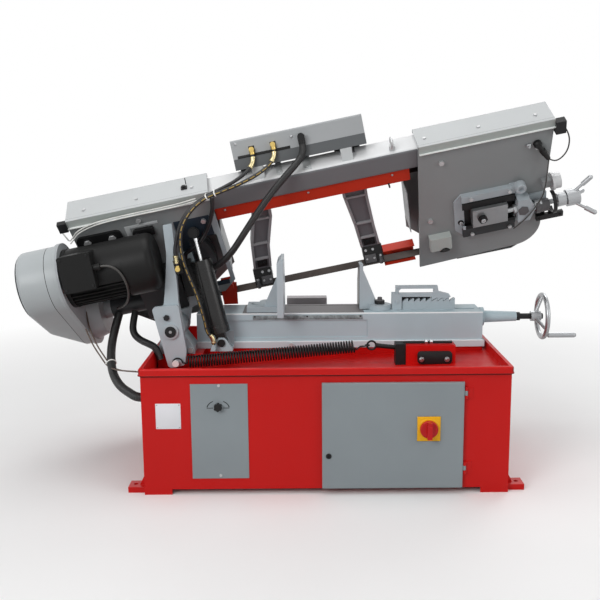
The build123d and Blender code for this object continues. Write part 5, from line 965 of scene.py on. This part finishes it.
def beam_details():
    with Piece("beam_clip", SAW, STEEL, "arm", "steel") as bm:
        box(bm, (738, 768), (BEAM_SEAT, 525.6), (-36, -8), 0.5)
        box(bm, (744, 762), (525, 543), (-34, -30), 0.8)
        cap_screw(bm, (753, 525.4, -18), RISE, 5, 5)
    with Piece("cover_clip", SAW, BLACK, "arm", "black_steel") as bm:
        box(bm, (142, 164), (539.6, 545), (6, 24), 0.8)
        box(bm, (147, 159), (544, 552), (10, 20), 1.2)
        turned(bm, (161, 544, 0), (0.1, 1, 0), [(0, 1.6), (26, 1.6), (28, 1.0)], 12)
    with Piece("plate_bar", SAW, BLACK, "arm", "black_steel") as bm:
        prism(bm, [(12, 412), (12, 446), (-52, 446), (-62, 441), (-67, 429), (-62, 417), (-52, 412)],
              PLATE_SEAT, 74, 1.2)
        cap_screw(bm, (-50, 429, 73.8), OUT, 6, 4)
    with Piece("plate_window", SAW, COVER, "arm", "cover_white") as bm:
        prism(bm, [(-88, 408), (-70, 408), (-70, 452), (32, 452), (32, 463), (-88, 463)], PLATE_SEAT, 64, 0.5)
    with Piece("strip_screws", SAW, STEEL, "arm", "steel") as bm:
        for u in (272, 577, 882):
            cap_screw(bm, (u, 426, 35.6), OUT, 4.2, 3.4)
    with Piece("strip_pin", SAW, BLACK, "arm", "black_steel") as bm:
        turned(bm, STRIP_PIN, STRIP_PIN_LEAN, [(0, 3.2), (22, 3.2), (24, 2.2)], 16)
        disc(bm, (866, 393, 32), STRIP_PIN_LEAN, 5.4, 6)


# Idler end: blade sensor and tension unit
TENSION_V = 200
TENSION_W = 92
SENSOR_TIP = (1364, 453)
FRAME_SCREW = (1112, 168)
SLIDE_SCREW_U = 1185


def sensor():
    with Piece("sensor_tip", SAW, CHROME, "arm", "chrome") as bm:
        disc(bm, (*SENSOR_TIP, PLATE_SEAT), OUT, 9, 12, 2.0)
        disc(bm, (*SENSOR_TIP, 73), OUT, 5, 7, 1.0)
    with Piece("sensor_plug", SAW, BLACK_PLASTIC, "arm", "black_plastic") as bm:
        turned(bm, (1396, 452, PLATE_SEAT + 0.2), OUT, [(0, 15), (12, 15), (16, 12), (22, 10)], 28)
        plug = [(0, 9), (22, 9), (23, 11.5), (40, 11.5), (41, 9.5), (66, 8.5), (72, 5)]
        turned(bm, (1398, 450, 76), (38, -66, 8), plug, 28)


def strap(bm):
    """Flat strap curved round the tension screw's axis."""
    section = ((1442, 40), (1455, 40), (1455, 45), (1442, 45))
    rings = []
    for step in range(25):
        angle = math.radians(-112 + 9 * step)
        rings.append([bm.verts.new((u, TENSION_V + r * math.sin(angle), TENSION_W + r * math.cos(angle)))
                      for u, r in section])
    skin(bm, rings)


def tension_details():
    with Piece("tension_band", SAW, BLACK, "arm", "black_steel") as bm:
        strap(bm)
        box(bm, (1392, 1494), (116, 139), (76, 92), 1.0)
        box(bm, (1441, 1456), (138, 162), (72, 80), 1.0)
        box(bm, (1394, 1428), (136, 170), (69.6, 78), 1.0)
        for u in (1404, 1482):
            cap_screw(bm, (u, 127, 91.6), OUT, 4.5, 4)
    with Piece("tension_sleeve", SAW, GUIDE, "arm", "iron") as bm:
        housing = [(0, 24), (2, 26), (16, 26), (18, 24), (50, 24), (52, 22)]
        turned(bm, (1384, TENSION_V - 10, TENSION_W), RIGHT, housing, 28)
    with Piece("frame_washer", SAW, BLACK, "arm", "black_steel") as bm:
        disc(bm, (*FRAME_SCREW, 69.8), OUT, 11, 3)
    with Piece("frame_screw", SAW, STEEL, "arm", "steel") as bm:
        cap_screw(bm, (*FRAME_SCREW, 72.6), OUT, 7.5, 7)
    with Piece("slide_screw", SAW, STEEL, "tension", "steel") as bm:
        cap_screw(bm, (SLIDE_SCREW_U, TENSION_V, 119.8), OUT, 9, 6)
    with Piece("bracket_boss", SAW, RAILS, "arm", "bed_grey") as bm:
        turned(bm, (1330, 293, 75.6), OUT, [(0, 22), (26, 20), (28, 18), (28, 10), (20, 9.4)], 28)
    with Piece("bracket_nut", SAW, GUIDE, "arm", "iron") as bm:
        hex_head(bm, (1336, 202, 113.8), OUT, 36, 5, washer=False)
    with Piece("stop_foot", LEVEL, BLACK_PLASTIC, "arm", "black_plastic") as bm:
        turned(bm, (1042, 140, 44), UP, [(0, 18), (2, 20), (7, 19), (14, 14.6), (18, 10)], 28)


# Pivot and motor
MOTOR_V = 376
MOTOR_W = 175
MOTOR_Y = BLADE_Y - MOTOR_V * SIN_LEAN - MOTOR_W * COS_LEAN
MOTOR_Z = BLADE_RISE + MOTOR_V * COS_LEAN - MOTOR_W * SIN_LEAN
JUNCTION_FACE = MOTOR_Y - 139.2


def pivot_and_motor_details():
    with Piece("pivot_centre", LEVEL, STEEL, "arm", "steel") as bm:
        turned(bm, (0, -139.8, 0), NEAR, [(0, 5.4), (1.4, 5.0), (1.4, 2.6), (0.4, 2.0)], 24)
    with Piece("junction_screws", LEVEL, BLACK, "arm", "black_steel") as bm:
        for u in (-288, -196):
            for rise in (-26, 78):
                cap_screw(bm, (u, JUNCTION_FACE, MOTOR_Z + rise), NEAR, 4.2, 3.2)


# Floor and light
FLOOR_R = 9000
FLOOR_THICK = 20
FADE_START, FADE_END = 1.3, 3.2
FLOOR_TONES = (0.86, 0.90)
FLOOR_BOUNCE = 0.42
ROOM_STRENGTH = 0.32
LAMP_TARGET = Vector((0, 0, 0.6))

# Each lamp's place, size and power
LAMPS = {
    "top_light": ((-0.4, -0.4, 4.2), 3.6, 62.0),
    "front_light": ((-2.6, -3.8, 2.6), 2.4, 100.0),
    "right_light": ((3.6, -2.4, 2.0), 2.4, 36.0),
    "back_light": ((2.4, 3.0, 3.9), 2.4, 60.0),
}


def grey(tone):
    return tone, tone, tone, 1.0


def floor_material():
    """Pale floor that keeps the shadow and fades into the white room away from the machine."""
    nodes = Nodes("pale_floor")
    where = nodes.add("TexCoord").outputs["Object"]
    reach = nodes.add("VectorMath", operation="LENGTH")
    nodes.put(reach.inputs[0], where)
    far = nodes.spread(reach.outputs["Value"], 0.0, 1.0, FADE_START, FADE_END)
    path = nodes.add("LightPath").outputs
    seen = nodes.math("MAXIMUM", path["Is Camera Ray"], path["Is Glossy Ray"])
    seen = nodes.math("MAXIMUM", seen, path["Is Transmission Ray"])
    glow = nodes.set(nodes.add("Emission"), Strength=1.0, Color=grey(1.0))
    colour = nodes.mix(nodes.noise(where, 2.0), *map(grey, FLOOR_TONES))
    colour = nodes.mix(seen, grey(FLOOR_BOUNCE), colour)
    nodes.set(nodes.shader, Base_Color=colour, Roughness=0.7)
    both = nodes.add("MixShader")
    nodes.put(both.inputs[0], nodes.math("MULTIPLY", far, seen))
    nodes.put(both.inputs[1], nodes.shader.outputs[0])
    nodes.put(both.inputs[2], glow.outputs[0])
    nodes.put(nodes.tree.nodes["Material Output"].inputs[0], both.outputs[0])
    return nodes.material


def stage():
    bm = bmesh.new()
    turned(bm, (0, 0, -FLOOR_THICK), UP, [(0, FLOOR_R), (FLOOR_THICK, FLOOR_R)], 96)
    bm.transform(WORLD)
    mesh = bpy.data.meshes.new("floor")
    bm.to_mesh(mesh)
    bm.free()
    mesh.materials.append(floor_material())
    floor = bpy.data.objects.new("floor", mesh)
    bpy.context.scene.collection.objects.link(floor)


def lamps():
    for name, (at, size, power) in LAMPS.items():
        data = bpy.data.lights.new(name, "AREA")
        data.shape = "DISK"
        data.size = size
        data.energy = power
        made = bpy.data.objects.new(name, data)
        bpy.context.scene.collection.objects.link(made)
        facing = (LAMP_TARGET - Vector(at)).to_track_quat("-Z", "Y")
        made.matrix_world = Matrix.Translation(at) @ facing.to_matrix().to_4x4()


def white_room():
    """White where the camera, a mirror or glass sees it, and dimmer as a light."""
    world = bpy.data.worlds.new("white_room")
    world.use_nodes = True
    nodes, links = world.node_tree.nodes, world.node_tree.links
    room = nodes["Background"]
    white = nodes.new("ShaderNodeBackground")
    for background, strength in ((room, ROOM_STRENGTH), (white, 1.0)):
        background.inputs["Color"].default_value = grey(1.0)
        background.inputs["Strength"].default_value = strength
    path = nodes.new("ShaderNodeLightPath").outputs
    seen = path["Is Camera Ray"]
    for kind in ("Is Transmission Ray", "Is Glossy Ray"):
        either = nodes.new("ShaderNodeMath")
        either.operation = "MAXIMUM"
        links.new(path[kind], either.inputs[0])
        links.new(seen, either.inputs[1])
        seen = either.outputs[0]
    both = nodes.new("ShaderNodeMixShader")
    for socket, source in zip(both.inputs, (seen, room.outputs[0], white.outputs[0])):
        links.new(source, socket)
    links.new(both.outputs[0], nodes["World Output"].inputs[0])
    bpy.context.scene.world = world
    bpy.context.scene.view_settings.view_transform = "Standard"


set_camera()
hose_ends(*hoses())
thin_cables()
counter_spring()
dress_cad()
cabinet_details()
scale_strip()
guide_ribs()
guide_heads()
cover_knobs()
vise_details()
anchor_rod()
box_details()
beam_details()
sensor()
tension_details()
anchor_plate()
pivot_and_motor_details()
stage()
lamps()
white_room()
